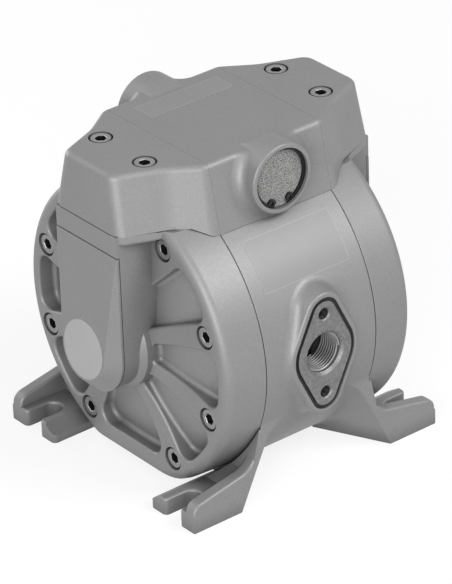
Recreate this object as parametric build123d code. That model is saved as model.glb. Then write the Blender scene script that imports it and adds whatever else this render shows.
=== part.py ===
from build123d import *
import math
import os

os.makedirs("parts", exist_ok=True)

# An air operated double diaphragm pump. X is the pump axis, the front port faces -Y, +Z is up.
# The origin is on the foot plane, centred between the four feet. All lengths are millimetres.

# Drum: centre casing and the two covers
AXIS_Z = 86.2            # height of the pump axis above the foot plane
CASING_R = 92.0          # outer radius of the drum at the seams
SEAM_X = 39.85           # half the width of the centre casing
FACE_X = 67.4            # outer face of a cover's rim
COVER_TAPER = 1.4        # how much smaller the cover's radius is near its face
COVER_EDGE_R = 6.0       # rounding of the rim's outer edge
DRUM_FLAT_Z = 5.3        # flat underside of the drum
CASING_SEAT_Z = 159.6    # flat on top of the centre casing
COVER_SEAT_Z = 165.5     # flat on top of each cover
REACH = 3 * CASING_R     # half the size of the blocks that cut flats and ends
SEAM_CHAMFER = 0.5

# Cover screws
SCREW_PCR = 77.2         # radius of the circle of screws
SCREW_ANGLES = (29.3, 70.0, 109.7, 149.8)   # from the vertical, on both sides
SCREW_R = 4.0            # M8
HEAD_R = 6.5
HEAD_H = 8.0
HEX_AF = 6.0
HEX_DEPTH = 4.5
COUNTERBORE_R = 7.1
HEAD_SINK = 2.1          # how far a head lies below the face around it
HOLE_CLEARANCE = 0.4     # around a screw's shank
SCREW_GRIP = 14.0        # length of shank in the piece below
HEAD_CHAMFER = 0.5

# Ribs and pockets on a cover
HUB_R = 30.5             # stepped hub round the pump axis
HUB_X = 75.5             # face of the hub's step
HUB_CONE_X = 79.2        # where the bevel behind the step meets the boss
HUB_CONE_INSET = 0.2     # the bevel ends this far inside the boss
RIM_W = 10.0             # plain rim outside the pockets
POCKET_OUT_R = CASING_R - RIM_W
RIB_IN = 4.6             # half width of a rib at the hub
RIB_OUT = 9.0            # half width of a rib at the rim
RIB_HUB_X = 72.6         # the ribs rise from the rim's face to this height at the hub
RIB_RISE_R = 66.0        # radius where they start to rise
DOME_X_IN = 66.6         # height of the domed floor at the hub
DOME_X_MID = 62.0
DOME_MID_R = 57.0
DOME_X_OUT = 51.5        # height of the domed floor at the rim
DOME_IN_R = HUB_R - 4.0   # the dome and the ribs run on under the hub
RIB_TOP_R = HUB_R - 2.0
RIB_OVERRUN = 3.0
POCKET_CORNER_OUT = 8.0
POCKET_CORNER_IN = 2.5
POCKET_EDGE_R = 1.8
POCKET_ROOT_R = 2.5      # rounding between floor and walls
POCKET_FLOOR_Z = 15.0    # the lowest pocket stops here
WEB_LOW = (22.7, 36.1)   # lower edge of the web beside the duct boss, in (y, z) about the axis
WEB_HIGH = (58.8, 69.7)

# Duct boss of a cover and its panel
BOSS_X = 91.0            # front of the boss
BOSS_HALF_W = 27.6
BOSS_OVERLAP = 5.0       # the pockets beside the boss run on under it
PANEL_TOP_Z = 152.0
PANEL_GAP = 0.5          # dark joint round the panel
PANEL_TOP_X = 91.6       # panel face at its upper edge
PANEL_FACE_X = 97.6      # panel face at the round end
PANEL_DISC_R = 19.0      # round flat at the panel's lower end
PANEL_EDGE_T = 1.6       # depth of the panel's bed
PANEL_PROUD = 0.2        # edge of the panel above the boss
PANEL_CROWN_INSET = 1.0
FLANGE_H = 6.1           # shelf under the end block
FLANGE_EDGE_R = 2.5
GASKET_T = 0.5

# Inner shape of a cover
AIR_R = 62.0             # mouth of the air chamber
AIR_X = 57.0             # depth of the air chamber
AIR_CENTRE_R = 12.0      # deeper pocket for the rod nut
AIR_CENTRE_X = 64.0
AIR_SHOULDER = (45.0, 61.0)   # (x, radius) of the bends in its wall
AIR_SLOPE = (53.0, 48.0)
AIR_PLATE_ROOM = 3.0     # round the plate at the end of the stroke
BOSS_FRONT_T = 3.0       # wall in front of the pilot spring
DUCT_X = 80.0            # vertical air duct in the boss
DUCT_R = 5.0
DUCT_LOW_Z = 104.0
WINDOW_HALF_W = 8.0      # opening of the duct under the panel
WINDOW_TOP_GAP = 6.0     # from the opening to the panel's upper edge

# Feet
FOOT_TIP_X = 89.5
FOOT_Y = 85.0            # outer side of a foot
FOOT_W = 39.8
FOOT_OUTER_PRONG = 13.7
FOOT_SLOT_W = 12.1
FOOT_SLOT_X = 69.5       # closed end of the slot
FOOT_PAD_T = 10.5
GUSSET_T = 8.0
GUSSET_TIP_Z = 16.6      # height of its straight brow at the tip and at the bend
GUSSET_BEND_X = 46.0
GUSSET_BEND_Z = 25.2
GUSSET_TOP_Z = 49.0
GUSSET_TIP_R = 7.0
GUSSET_BEND_R = 14.0
FOOT_CORNER_R = 3.0
FOOT_EDGE_R = 1.5
FOOT_RELIEF = 1.0        # gap between a foot and the cover above it
ROOT_X = 20.0            # how far a foot reaches into the drum
ROOT_END_X = 58.0        # where the sloped root meets the pad
ROOT_BEND = (47.0, 21.0)
ROOT_TOP = (SEAM_X, 55.0)
ROOT_BLEND_R = 12.0      # rounding where the root leaves the drum
ROOT_WEB_W = 5.0         # web on the foot's inner side
ROOT_WEB_TOP_Z = 30.0
LEAN_X = 55.3            # the leaning inner side: at the outer corner on the ground,
LEAN_BACK_X = 34.0       # at the inner corner,
LEAN_TOP_X = 38.4        # and higher up
LEAN_TOP_Z = 34.8

# Fluid ports
PORT_Y = 94.8            # face of a port
PORT_PLATE_HALF_H = 33.0
PORT_PLATE_HALF_W = 19.0
PORT_PLATE_END_R = 8.0
PORT_PLATE_T = 7.0
PORT_SEAL_W = 2.4        # black cord round the plate
PORT_RIM_W = 2.6         # rim of the casing round the cord
PORT_RIM_R = 1.4
PORT_RIM_TAPER = 14.0    # slope of the raised pad
PORT_FOOT_R = 6.0        # rounding between the pad and the drum
PORT_PAD_DEPTH = 30.0
PORT_SEAL_PROUD = -1.2   # the cord lies below the plate's face
PORT_SEAL_T = 5.6
PORT_THREAD_R = 12.06    # core of a G 3/4 thread
PORT_DEPTH = 18.0
PORT_STEP_R = 8.5        # narrower bore behind the thread
PORT_STEP_DEPTH = 24.0
PORT_CHAMFER = 1.6
PORT_SCREW_PITCH = 50.0
PORT_TAP_R = 3.4         # core of M8
PORT_TAP_DEPTH = 14.0
PORT_TAP_CHAMFER = 0.8

# Valve blocks behind the ports; heights here are counted from the pump axis
CORE_INSET = 1.5         # how much smaller the block is than its port plate
CORE_TOP = 19.5          # flat top of a block
CORE_END_Y = 20.0        # inner end of a block
SLIP = 0.1               # radial play between fixed pieces that slide together
BALL_R = 7.5
BALL_PLAY = 0.5          # round a ball in its bore
BALL_LIFT = 4.0
BALL_REST_GAP = 0.05     # under a ball at rest
SEAT_OUT_R = 8.8
SEAT_IN_R = 5.0
SEAT_H = 4.0
VALVE_Y = (32.0, 55.0)   # the two ball valves of one block
WINDOW_WAYS = (-1, 1)    # the side that each opens to
INLET_SEAT = -18.0
OUTLET_SEAT = -11.0
GALLERY_R = 4.0          # bore from the port's drilling to the ball valves
GALLERY_WALL = 0.5
DROP_R = 4.6             # upright drilling behind the port
WINDOW_R = 4.5
WINDOW_PLAY = 0.5
WINDOW_REACH = 8.0       # how far a window's bore runs on past the web
PLUG_H = 8.0

# Fluid chambers and diaphragms
WEB_X = 22.0             # half the web at the rod
WEB_OUTER_X = 28.0       # half the web outside the plates
CHAMBER_R = 62.0
DIAPHRAGM_R = 71.0
RIM_T = 4.0              # clamped rim of a diaphragm
MEMBRANE_T = 2.8
CONVOLUTION_H = 5.0
CONVOLUTION_IN = (2.0, 3.5)    # from the plate to the bend, on the fluid and the air side
CONVOLUTION_OUT = (0.5, 2.0)   # from the bend to the chamber's wall, likewise
CONVOLUTION_SHIFT = 1.0        # its middle lies outside the middle of the gap
RIM_LIP = 2.5                  # from the chamber's wall to the clamped rim
CHAMBER_BEVEL = (3.0, 4.0)     # bevel between the web and the chamber's wall
PLATE_ROOM = (2.0, 5.0)        # sloping step of the web round the inner plate
RIM_PLAY = 0.3

# Rod with its plates
HALF_STROKE = 8.0
ROD_R = 8.0
ROD_PLAY = 0.06
ROD_THREAD_R = 6.0
PLATE_R = 34.0
PLATE_T = 6.0
PLATE_BULGE = 1.0        # how far the rounded edge of a plate stands out
PLATE_EDGE_T = 2.0       # half its thickness
PLATE_BEVEL = 6.0
ROD_END = 1.0            # thread beyond the nut
NUT_H = 6.0
NUT_AF = 18.0
BUSH_R = 11.0
BUSH_L = 12.0
ROD_SEAL_W = 4.0

# Pilot pins
PILOT_PIN_R = 2.5
PILOT_HEAD_R = 5.0
PILOT_HEAD_T = 3.0
PILOT_HEAD_GAP = 0.3     # between the head and its bush
PILOT_STUB_L = 3.0       # guides the spring
PILOT_STUB_R = PILOT_PIN_R - 0.5
PILOT_BUSH_R = 7.0
PILOT_BUSH_L = 8.0
PILOT_TOUCH = 0.3        # gap left at the end of the stroke
SPRING_WIRE_R = 0.5
SPRING_R = 4.4
SPRING_TURNS = 5
SPRING_GAP = 0.1

# Top housing
HOUSING_TOP_Z = 200.35
HOUSING_END_X = 88.9     # end of the top face
HOUSING_END_HALF_W = 21.2
HOUSING_BEND_X = 60.0    # where the sides bend outwards
HOUSING_BEND_HALF_W = 33.2
HOUSING_BEND_R = 40.0
HOUSING_MID_X = 41.4     # where the sides turn parallel
HOUSING_MID_HALF_W = 46.3
HOUSING_DRAFT = 12.2     # slope of the sides
HOUSING_END_DRAFT = 3.45
HOUSING_CORNER_R = 9.0
HOUSING_TOP_R = 4.0
HOUSING_RUN_OUT = 18.0   # the tapered plan runs on past the end before it is cut off
HOUSING_DEPTH = HOUSING_TOP_Z - CASING_SEAT_Z + 9   # the sloping sides run on below the seat
BLOCK_GAP = 0.05         # joint between neighbouring blocks, each side
SKIRT_DROP = 6.0         # the skirts reach this far below the casing's flat
SKIRT_GAP = 0.2          # between a skirt and the drum
TOP_SCREW_X = 63.2
TOP_SCREW_Y = 19.8

# Bosses for the exhaust and the air inlet
BOSS_Z = HOUSING_TOP_Z - 16.95
EXHAUST_R = 20.8
EXHAUST_Y = 61.7
EXHAUST_BORE_R = 18.2
EXHAUST_CHAMBER_R = 14.0
BOSS_BACK_Y = 36.0       # where the boss leaves the top face
BOSS_SLOPE = 16.0
BOSS_FLARE_R = 7.0       # rounding between a boss and the side of the housing
BOSS_EDGE_R = 1.2
BOSS_INSET = 0.05        # the flare runs out this far inside the housing's faces
MUFFLER_SINK = 3.4
MUFFLER_T = 4.0
CIRCLIP_T = 1.4
CIRCLIP_WIDTH = 2.3
CIRCLIP_GAP = 34.0       # degrees left open at the bottom
CIRCLIP_GROOVE = 0.7
CIRCLIP_PLAY = 0.1
CIRCLIP_EDGE_PLAY = 0.2
LUG_TURN = 7.0           # degrees from the gap to an eye
LUG_INSET = 0.4
LUG_R = 2.6
LUG_HOLE_R = 1.1
INLET_BUSH_R = 13.0
INLET_THREAD_R = 7.48    # core of a G 3/8 thread
INLET_DEPTH = 15.0
INLET_PROUD = 0.4

# Air valve
SPOOL_Z = BOSS_Z - 3.4
SLEEVE_R = 12.0
SPOOL_R = 8.0
SPOOL_PLAY = 0.05
SPOOL_WAIST_R = 5.0
SPOOL_LEN = 48.0
SPOOL_TRAVEL = 8.0
SLEEVE_HALF_L = 32.0
CAP_T = 6.0
AIR_PORT_R = 4.0
SLEEVE_PORT_X = 8.0      # the two front ports of the sleeve
SPOOL_LANDS = 3
CAP_GAP = 0.3

far = Rot(0, 0, 180)     # the far side is the near side turned about the vertical


def x_cylinder(radius, x_from, x_to, y=0.0, z=AXIS_Z):
    return Pos((x_from + x_to) / 2, y, z) * Rot(0, 90, 0) * Cylinder(radius, abs(x_to - x_from))


def y_cylinder(radius, y_from, y_to, x=0.0, z=AXIS_Z):
    return Pos(x, (y_from + y_to) / 2, z) * Rot(90, 0, 0) * Cylinder(radius, abs(y_to - y_from))


def z_cylinder(radius, z_from, z_to, x=0.0, y=0.0):
    return Pos(x, y, (z_from + z_to) / 2) * Cylinder(radius, abs(z_to - z_from))


def block(x_from, x_to, y_from, y_to, z_from, z_to):
    size = Box(abs(x_to - x_from), abs(y_to - y_from), abs(z_to - z_from))
    return Pos((x_from + x_to) / 2, (y_from + y_to) / 2, (z_from + z_to) / 2) * size


def turned(*outline, z=AXIS_Z):
    """A solid turned about the X direction, from points (x, radius)."""
    face = Plane.XZ * make_face(Polyline(*outline, close=True))
    return Pos(0, 0, z) * revolve(face, Axis.X, 360)


def ring_x(outer, inner, x_from, x_to, y=0.0, z=AXIS_Z):
    return x_cylinder(outer, x_from, x_to, y, z) - x_cylinder(inner, x_from - 1, x_to + 1, y, z)


def lozenge(half_h, half_w, end_r):
    """A lozenge with round ends and sides: a middle circle, two end circles and their tangents."""
    tip = half_h - end_r
    lean = math.asin((half_w - end_r) / tip)
    c, s = math.cos(lean), math.sin(lean)
    side = [(half_w * c, half_w * s), (end_r * c, tip + end_r * s)]
    outline = ThreePointArc((half_w * c, -half_w * s), (half_w, 0), side[0]) + Line(*side)
    outline += ThreePointArc(side[1], (0, half_h), (-side[1][0], side[1][1]))
    outline += Line((-side[1][0], side[1][1]), (-side[0][0], side[0][1]))
    outline += ThreePointArc((-side[0][0], side[0][1]), (-half_w, 0), (-side[0][0], -side[0][1]))
    outline += Line((-side[0][0], -side[0][1]), (-side[1][0], -side[1][1]))
    outline += ThreePointArc((-side[1][0], -side[1][1]), (0, -half_h), (side[1][0], -side[1][1]))
    outline += Line((side[1][0], -side[1][1]), (side[0][0], -side[0][1]))
    return make_face(outline)


def on_port_plane(face, y):
    """A face drawn in (x, height about the axis), looking out along -Y."""
    return Plane(origin=(0, y, AXIS_Z), x_dir=(1, 0, 0), z_dir=(0, -1, 0)) * face


def screw_places():
    """Points (y, z) of the eight screws of a cover."""
    places = []
    for angle in SCREW_ANGLES:
        turn = math.radians(angle)
        for side in (-1, 1):
            places.append((side * SCREW_PCR * math.sin(turn), AXIS_Z + SCREW_PCR * math.cos(turn)))
    return places


def socket_screw(length):
    """A socket head screw along -Z, the top of its head at the origin."""
    head = Pos(0, 0, -HEAD_H / 2) * Cylinder(HEAD_R, HEAD_H)
    head = chamfer(head.edges().group_by(Axis.Z)[-1], HEAD_CHAMFER)
    shank = Pos(0, 0, -HEAD_H - length / 2) * Cylinder(SCREW_R, length)
    socket = extrude(RegularPolygon(HEX_AF / 2, 6, major_radius=False), -HEX_DEPTH)
    return head + shank - socket


# Centre casing

def foot():
    """The foot at +X, -Y, from which the other three are mirrored."""
    y_out = -FOOT_Y
    y_in = y_out + FOOT_W
    slot_y = y_out + FOOT_OUTER_PRONG + FOOT_SLOT_W / 2
    slot_r = FOOT_SLOT_W / 2
    slot_x = FOOT_SLOT_X + slot_r
    pad = block(ROOT_X, FOOT_TIP_X, y_out, y_in, 0, FOOT_PAD_T)
    pad -= block(slot_x, FOOT_TIP_X + 5, slot_y - slot_r, slot_y + slot_r, -1, FOOT_PAD_T + 1)
    pad -= z_cylinder(slot_r, -1, FOOT_PAD_T + 1, slot_x, slot_y)
    tips = pad.edges().filter_by(Axis.Z).group_by(Axis.X)[-1]
    pad = fillet([e for e in tips if e.center().Y > y_out + 1], FOOT_CORNER_R)
    pad = fillet([e for e in pad.edges().group_by(Axis.Z)[-1] if e.center().Y > y_out + 1], FOOT_EDGE_R)
    profile = Polyline((ROOT_X, 0), (ROOT_END_X, 0), (ROOT_END_X, FOOT_PAD_T - FOOT_EDGE_R), ROOT_BEND,
                       ROOT_TOP, (ROOT_X, ROOT_TOP[1]), close=True)
    root = Pos(0, y_in, 0) * extrude(Plane.XZ * make_face(profile), amount=FOOT_W)
    root += block(ROOT_X, SEAM_X, y_in, y_in + ROOT_WEB_W, 0, ROOT_WEB_TOP_Z)
    solid = pad + gusset(y_out) + root
    # the inner side leans towards the drum, both in plan and in the front view
    corner = Vector(LEAN_X, y_out, 0)
    back = Vector(LEAN_BACK_X - LEAN_X, FOOT_W + ROOT_WEB_W, 0)
    up = Vector(LEAN_TOP_X - LEAN_X, 0, LEAN_TOP_Z)
    leaning = Plane(origin=corner, x_dir=back, z_dir=back.cross(up))
    solid = solid & leaning * Pos(0, 0, CASING_R) * Box(4 * CASING_R, 4 * CASING_R, 2 * CASING_R)
    return solid - x_cylinder(CASING_R + FOOT_RELIEF, SEAM_X, FOOT_TIP_X + 20)


def gusset(y_out):
    """The wall along a foot's outer side, falling in a curve from the drum to the tip."""
    corners = Polyline((SEAM_X, 0), (FOOT_TIP_X, 0), (FOOT_TIP_X, GUSSET_TIP_Z), (GUSSET_BEND_X, GUSSET_BEND_Z),
                       (SEAM_X, GUSSET_TOP_Z), close=True)
    profile = make_face(corners)
    profile = fillet(profile.vertices().filter_by(lambda v: abs(v.Y - GUSSET_TIP_Z) < 0.01), GUSSET_TIP_R)
    profile = fillet(profile.vertices().filter_by(lambda v: abs(v.X - GUSSET_BEND_X) < 0.01), GUSSET_BEND_R)
    wall = Pos(0, y_out + GUSSET_T, 0) * extrude(Plane.XZ * profile, amount=GUSSET_T)
    brow = [e for e in wall.edges() if abs(e.center().Y - y_out - GUSSET_T / 2) > GUSSET_T / 2 - 0.01]
    brow = [e for e in brow if e.center().Z > 0.1 and e.center().X > SEAM_X + 0.1]
    return fillet(brow, FOOT_EDGE_R)


def drum():
    solid = x_cylinder(CASING_R, -SEAM_X, SEAM_X)
    solid = chamfer(solid.edges().filter_by(GeomType.CIRCLE), SEAM_CHAMFER)
    solid -= block(-REACH, REACH, -REACH, REACH, CASING_SEAT_Z, REACH)
    solid -= block(-REACH, REACH, -REACH, REACH, -REACH, DRUM_FLAT_Z)
    return solid


def port_pad():
    """The raised pad round the front port, running back into the drum."""
    grow = PORT_SEAL_W + PORT_RIM_W
    face = lozenge(PORT_PLATE_HALF_H + grow, PORT_PLATE_HALF_W + grow, PORT_PLATE_END_R + grow)
    pad = extrude(on_port_plane(face, -PORT_Y), amount=-PORT_PAD_DEPTH, taper=-PORT_RIM_TAPER)
    return fillet(pad.faces().sort_by(Axis.Y)[0].edges(), PORT_RIM_R)


def leaves_drum(edge, x_from, x_to, y_way):
    """True for an edge on the round outside of the drum, between two places and on one side."""
    middle = edge @ 0.5
    radius = math.hypot(middle.Y, middle.Z - AXIS_Z)
    inside = x_from < middle.X < x_to and DRUM_FLAT_Z + 1 < middle.Z < CASING_SEAT_Z - 1
    return inside and middle.Y * y_way > 0 and abs(radius - CASING_R) < 0.02


def blended_drum():
    """The drum with its port pads and feet, rounded where they leave it."""
    solid = drum()
    pads_end = 0.8 * SEAM_X
    for y_way, pad in ((-1, port_pad()), (1, far * port_pad())):
        solid = solid + pad
        solid = fillet([e for e in solid.edges() if leaves_drum(e, -pads_end, pads_end, y_way)], PORT_FOOT_R)
    right = foot()
    left = mirror(right, Plane.YZ)
    for y_way in (-1, 1):
        for x_range, piece in (((pads_end, SEAM_X - 0.6), right), ((0.6 - SEAM_X, -pads_end), left)):
            solid = solid + (piece if y_way < 0 else mirror(piece, Plane.XZ))
            solid = fillet([e for e in solid.edges() if leaves_drum(e, *x_range, y_way)], ROOT_BLEND_R)
    return solid


def chamber():
    """The fluid chamber of the +X side."""
    rim_r = DIAPHRAGM_R + RIM_PLAY
    rim_x = SEAM_X - RIM_T / 2
    bevel_x, bevel_r = CHAMBER_BEVEL
    room_in, room_out = PLATE_ROOM
    return turned((SEAM_X + 1, 0), (SEAM_X + 1, rim_r), (rim_x, rim_r), (rim_x, CHAMBER_R),
                  (WEB_OUTER_X + bevel_x, CHAMBER_R), (WEB_OUTER_X, CHAMBER_R - bevel_r),
                  (WEB_OUTER_X, PLATE_R + room_out), (WEB_X, PLATE_R + room_in), (WEB_X, 0))


def core_outline(play=0.0):
    shrink = CORE_INSET - play
    return lozenge(PORT_PLATE_HALF_H - shrink, PORT_PLATE_HALF_W - shrink, PORT_PLATE_END_R - shrink)


def centre_casing():
    solid = blended_drum()
    for side in (chamber(), far * chamber()):
        solid -= side
    plate_bed = lozenge(PORT_PLATE_HALF_H + PORT_SEAL_W, PORT_PLATE_HALF_W + PORT_SEAL_W,
                        PORT_PLATE_END_R + PORT_SEAL_W)
    for turn in (Rot(0, 0, 0), far):
        solid -= turn * extrude(on_port_plane(plate_bed, -PORT_Y - 1), amount=-(PORT_PLATE_T + 1))
        solid -= turn * extrude(on_port_plane(core_outline(SLIP), -PORT_Y), amount=-(PORT_Y - CORE_END_Y + SLIP))
        for (y, z) in screw_places():
            solid -= turn * x_cylinder(SCREW_R + SLIP, SEAM_X + 1, SEAM_X - SCREW_GRIP - 2, y, z)
    solid -= x_cylinder(ROD_R + HOLE_CLEARANCE, -WEB_X - 1, WEB_X + 1)
    solid -= ring_space(BUSH_R + SLIP)
    for y, way in zip(VALVE_Y, WINDOW_WAYS):
        end_x = way * (WEB_OUTER_X + WINDOW_REACH)
        window = x_cylinder(WINDOW_R + WINDOW_PLAY, 0, end_x, -y, inlet_window_z())
        solid -= window
        solid -= far * Pos(0, 0, outlet_window_z() - inlet_window_z()) * window
    return solid


def ring_space(radius):
    """Beds at both ends of the rod's bore for the bushes and their seals."""
    length = BUSH_L + ROD_SEAL_W
    return x_cylinder(radius, WEB_X - length, WEB_X + 1) + x_cylinder(radius, -WEB_X - 1, length - WEB_X)


# Valve blocks with balls, seats and plugs

def ball_rest_z(seat):
    """Height of a ball's centre when it lies on the edge of its seat."""
    return AXIS_Z + seat + SEAT_H + math.sqrt(BALL_R ** 2 - SEAT_IN_R ** 2)


def plug_z(seat):
    return ball_rest_z(seat) + BALL_LIFT + BALL_R + BALL_PLAY


def inlet_window_z():
    return ball_rest_z(INLET_SEAT) + BALL_LIFT


def outlet_window_z():
    return AXIS_Z + OUTLET_SEAT - WINDOW_R - GALLERY_WALL


def valve_block(seat, is_inlet):
    """A valve block behind the -Y port; the outlet block is turned to the +Y port afterwards."""
    face = lozenge(PORT_PLATE_HALF_H, PORT_PLATE_HALF_W, PORT_PLATE_END_R)
    solid = extrude(on_port_plane(face, -PORT_Y), amount=-PORT_PLATE_T)
    core = extrude(on_port_plane(core_outline(), -PORT_Y + 1), amount=-(PORT_Y - 1 - CORE_END_Y))
    solid += core - block(-REACH, REACH, -PORT_Y + PORT_PLATE_T, 0, AXIS_Z + CORE_TOP, REACH)
    mouth = Rot(90, 0, 0) * Cone(PORT_THREAD_R, PORT_THREAD_R + PORT_CHAMFER, PORT_CHAMFER)
    solid -= y_cylinder(PORT_THREAD_R, -PORT_Y - 1, -PORT_Y + PORT_DEPTH)
    solid -= y_cylinder(PORT_STEP_R, -PORT_Y, -PORT_Y + PORT_STEP_DEPTH)
    solid -= Pos(0, -PORT_Y + PORT_CHAMFER / 2, AXIS_Z) * mouth
    for side in (-1, 1):
        z = AXIS_Z + side * PORT_SCREW_PITCH / 2
        solid -= y_cylinder(PORT_TAP_R, -PORT_Y - 1, -PORT_Y + PORT_TAP_DEPTH, 0, z)
        sink = Rot(90, 0, 0) * Cone(PORT_TAP_R, PORT_TAP_R + PORT_TAP_CHAMFER, PORT_TAP_CHAMFER)
        solid -= Pos(0, -PORT_Y + PORT_TAP_CHAMFER / 2, z) * sink
    seat_z = AXIS_Z + seat
    if is_inlet:
        gallery_z = seat_z - GALLERY_R - GALLERY_WALL
        low_z = gallery_z - 1
        window_z = inlet_window_z()
        drop = (gallery_z - 1, AXIS_Z)
    else:
        gallery_z = plug_z(seat) - GALLERY_R - GALLERY_WALL
        window_z = outlet_window_z()
        low_z = window_z - 1
        drop = (AXIS_Z, gallery_z + 1)
    drop_y = -PORT_Y + PORT_STEP_DEPTH - DROP_R - GALLERY_WALL
    solid -= y_cylinder(GALLERY_R, drop_y - 2, -VALVE_Y[0] + 1, 0, gallery_z)
    solid -= z_cylinder(DROP_R, *drop, 0, drop_y)
    for y, way in zip(VALVE_Y, WINDOW_WAYS):
        solid -= z_cylinder(SEAT_OUT_R + SLIP, seat_z, AXIS_Z + CORE_TOP + 1, 0, -y)
        solid -= z_cylinder(SEAT_IN_R, low_z, seat_z + 1, 0, -y)
        solid -= x_cylinder(WINDOW_R, 0, way * PORT_PLATE_HALF_W, -y, window_z)
    return solid


def valve_seats(seat):
    rings = []
    low = AXIS_Z + seat
    for y in VALVE_Y:
        ring = z_cylinder(SEAT_OUT_R, low, low + SEAT_H, 0, -y)
        rings.append(ring - z_cylinder(SEAT_IN_R, low - 1, low + SEAT_H + 1, 0, -y))
    return Compound(rings)


def valve_ball(y, seat):
    return Pos(0, y, ball_rest_z(seat) + BALL_REST_GAP) * Sphere(BALL_R)


def valve_plugs(seat):
    low = plug_z(seat)
    return Compound([z_cylinder(SEAT_OUT_R, low, low + PLUG_H, 0, -y) for y in VALVE_Y])


def port_seal():
    inner = lozenge(PORT_PLATE_HALF_H + SLIP, PORT_PLATE_HALF_W + SLIP, PORT_PLATE_END_R + SLIP)
    outer = lozenge(PORT_PLATE_HALF_H + PORT_SEAL_W - SLIP, PORT_PLATE_HALF_W + PORT_SEAL_W - SLIP,
                    PORT_PLATE_END_R + PORT_SEAL_W - SLIP)
    return extrude(on_port_plane(outer - inner, -PORT_Y - PORT_SEAL_PROUD), amount=-PORT_SEAL_T)


# Covers

def dome():
    """What stays under the pockets: the domed wall of the air chamber."""
    edge_r = CASING_R - 1
    top = ThreePointArc((DOME_X_IN, DOME_IN_R), (DOME_X_MID, DOME_MID_R), (DOME_X_OUT, edge_r))
    outline = Polyline((DOME_X_OUT, edge_r), (0, edge_r), (0, 0), (DOME_X_IN, 0), (DOME_X_IN, DOME_IN_R))
    return Pos(0, 0, AXIS_Z) * revolve(Plane.XZ * make_face(top + outline), Axis.X, 360)


def rib(angle):
    """Plan of the rib from the hub to one screw, in (y, z) about the pump axis."""
    turn = math.radians(angle)
    along = Vector(math.sin(turn), math.cos(turn))
    across = Vector(along.Y, -along.X)
    inner = along * (HUB_R - RIB_OVERRUN)
    outer = along * (POCKET_OUT_R + RIB_OVERRUN)
    corners = [inner + across * RIB_IN, outer + across * RIB_OUT,
               outer - across * RIB_OUT, inner - across * RIB_IN]
    return make_face(Polyline(*[(p.X, p.Y) for p in corners], close=True))


def pocket_plan():
    """The pockets between the ribs, in (y, z) about the pump axis."""
    plan = Circle(POCKET_OUT_R) - Circle(HUB_R)
    for angle in SCREW_ANGLES[1:]:
        plan = plan - rib(angle) - rib(-angle)
    for side in (-1, 1):
        web = Polyline((0, WEB_LOW[1] - WEB_LOW[0]), (side * WEB_LOW[0], WEB_LOW[1]),
                       (side * WEB_HIGH[0], WEB_HIGH[1]), (side * WEB_HIGH[0], CASING_R), (0, CASING_R),
                       close=True)
        plan -= make_face(web)
    plan -= Pos(0, POCKET_OUT_R / 2) * Rectangle(2 * (BOSS_HALF_W - BOSS_OVERLAP), POCKET_OUT_R)
    plan -= Pos(0, POCKET_FLOOR_Z - AXIS_Z - CASING_R / 2) * Rectangle(2 * CASING_R, CASING_R)
    return plan


def pockets():
    """Tools that cut the pockets, with round corners and a round foot to their walls."""
    tools = []
    floor = dome()
    middle = (HUB_R + POCKET_OUT_R) / 2
    for face in pocket_plan().faces():
        tool = extrude(yz_plane(RIB_HUB_X + 2) * face, amount=-(RIB_HUB_X + 4 - DOME_X_OUT))
        outer = [e for e in tool.edges().filter_by(Axis.X) if from_axis(e) > middle]
        tool = fillet(outer, POCKET_CORNER_OUT)
        inner = [e for e in tool.edges().filter_by(Axis.X) if from_axis(e) < HUB_R + 5]
        seen = [e for e in inner if abs(e.center().Y) > BOSS_HALF_W or e.center().Z < AXIS_Z]
        if seen:
            tool = fillet(seen, POCKET_CORNER_IN)
        tool -= floor
        tools.append(fillet(floor_edges(tool), POCKET_ROOT_R))
    return tools


def from_axis(shape):
    """Distance of a shape's centre from the pump axis."""
    return math.hypot(shape.center().Y, shape.center().Z - AXIS_Z)


def floor_edges(tool):
    """Edges between the walls and the domed end of a pocket's tool."""
    return [e for e in tool.edges() if abs(e.tangent_at(0.5).X) < 0.9 and e.center().X < RIB_HUB_X + 1]


def boss_outline(grow=0.0):
    """The duct boss in (y, z) about the pump axis: straight sides over a half circle."""
    half = BOSS_HALF_W + grow
    top = COVER_SEAT_Z - AXIS_Z
    return Circle(half) + Pos(0, top / 2) * Rectangle(2 * half, top)


def yz_plane(x):
    """The plane across the pump axis at x, its own x along +Y and its own y along +Z."""
    return Plane(origin=(x, 0, AXIS_Z), x_dir=(0, 1, 0), z_dir=(1, 0, 0))


def flange():
    """Shelf of the cover that carries the end block."""
    inner_x = FACE_X - COVER_EDGE_R - 1
    shelf = housing_envelope() & block(inner_x, REACH, -REACH, REACH, COVER_SEAT_Z, COVER_SEAT_Z + 0.1)
    plate = extrude(shelf.faces().sort_by(Axis.Z)[0], amount=FLANGE_H, dir=(0, 0, -1))
    low = plate.faces().sort_by(Axis.Z)[0].edges()
    return fillet([e for e in low if e.center().X > inner_x + 1], FLANGE_EDGE_R)


def cover():
    """The cover of the +X side."""
    body = cover_blank()
    for tool in pockets():
        body -= tool
    body = fillet(pocket_rims(body), POCKET_EDGE_R)
    root_x = DOME_X_OUT - 1
    body += turned((root_x, 0), (root_x, HUB_R), (HUB_X, HUB_R), (HUB_CONE_X, BOSS_HALF_W - HUB_CONE_INSET),
                   (HUB_CONE_X, 0))
    body += extrude(yz_plane(root_x) * boss_outline(), amount=BOSS_X - root_x)
    body += flange()
    body -= block(-REACH, REACH, -REACH, REACH, COVER_SEAT_Z, REACH)
    body -= block(-REACH, REACH, -REACH, REACH, -REACH, DRUM_FLAT_Z)
    body -= air_chamber()
    for (y, z) in screw_places():
        body -= x_cylinder(SCREW_R + HOLE_CLEARANCE, SEAM_X - 1, FACE_X, y, z)
        body -= x_cylinder(COUNTERBORE_R, FACE_X - HEAD_SINK - HEAD_H, FACE_X + 9, y, z)
    return body


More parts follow.
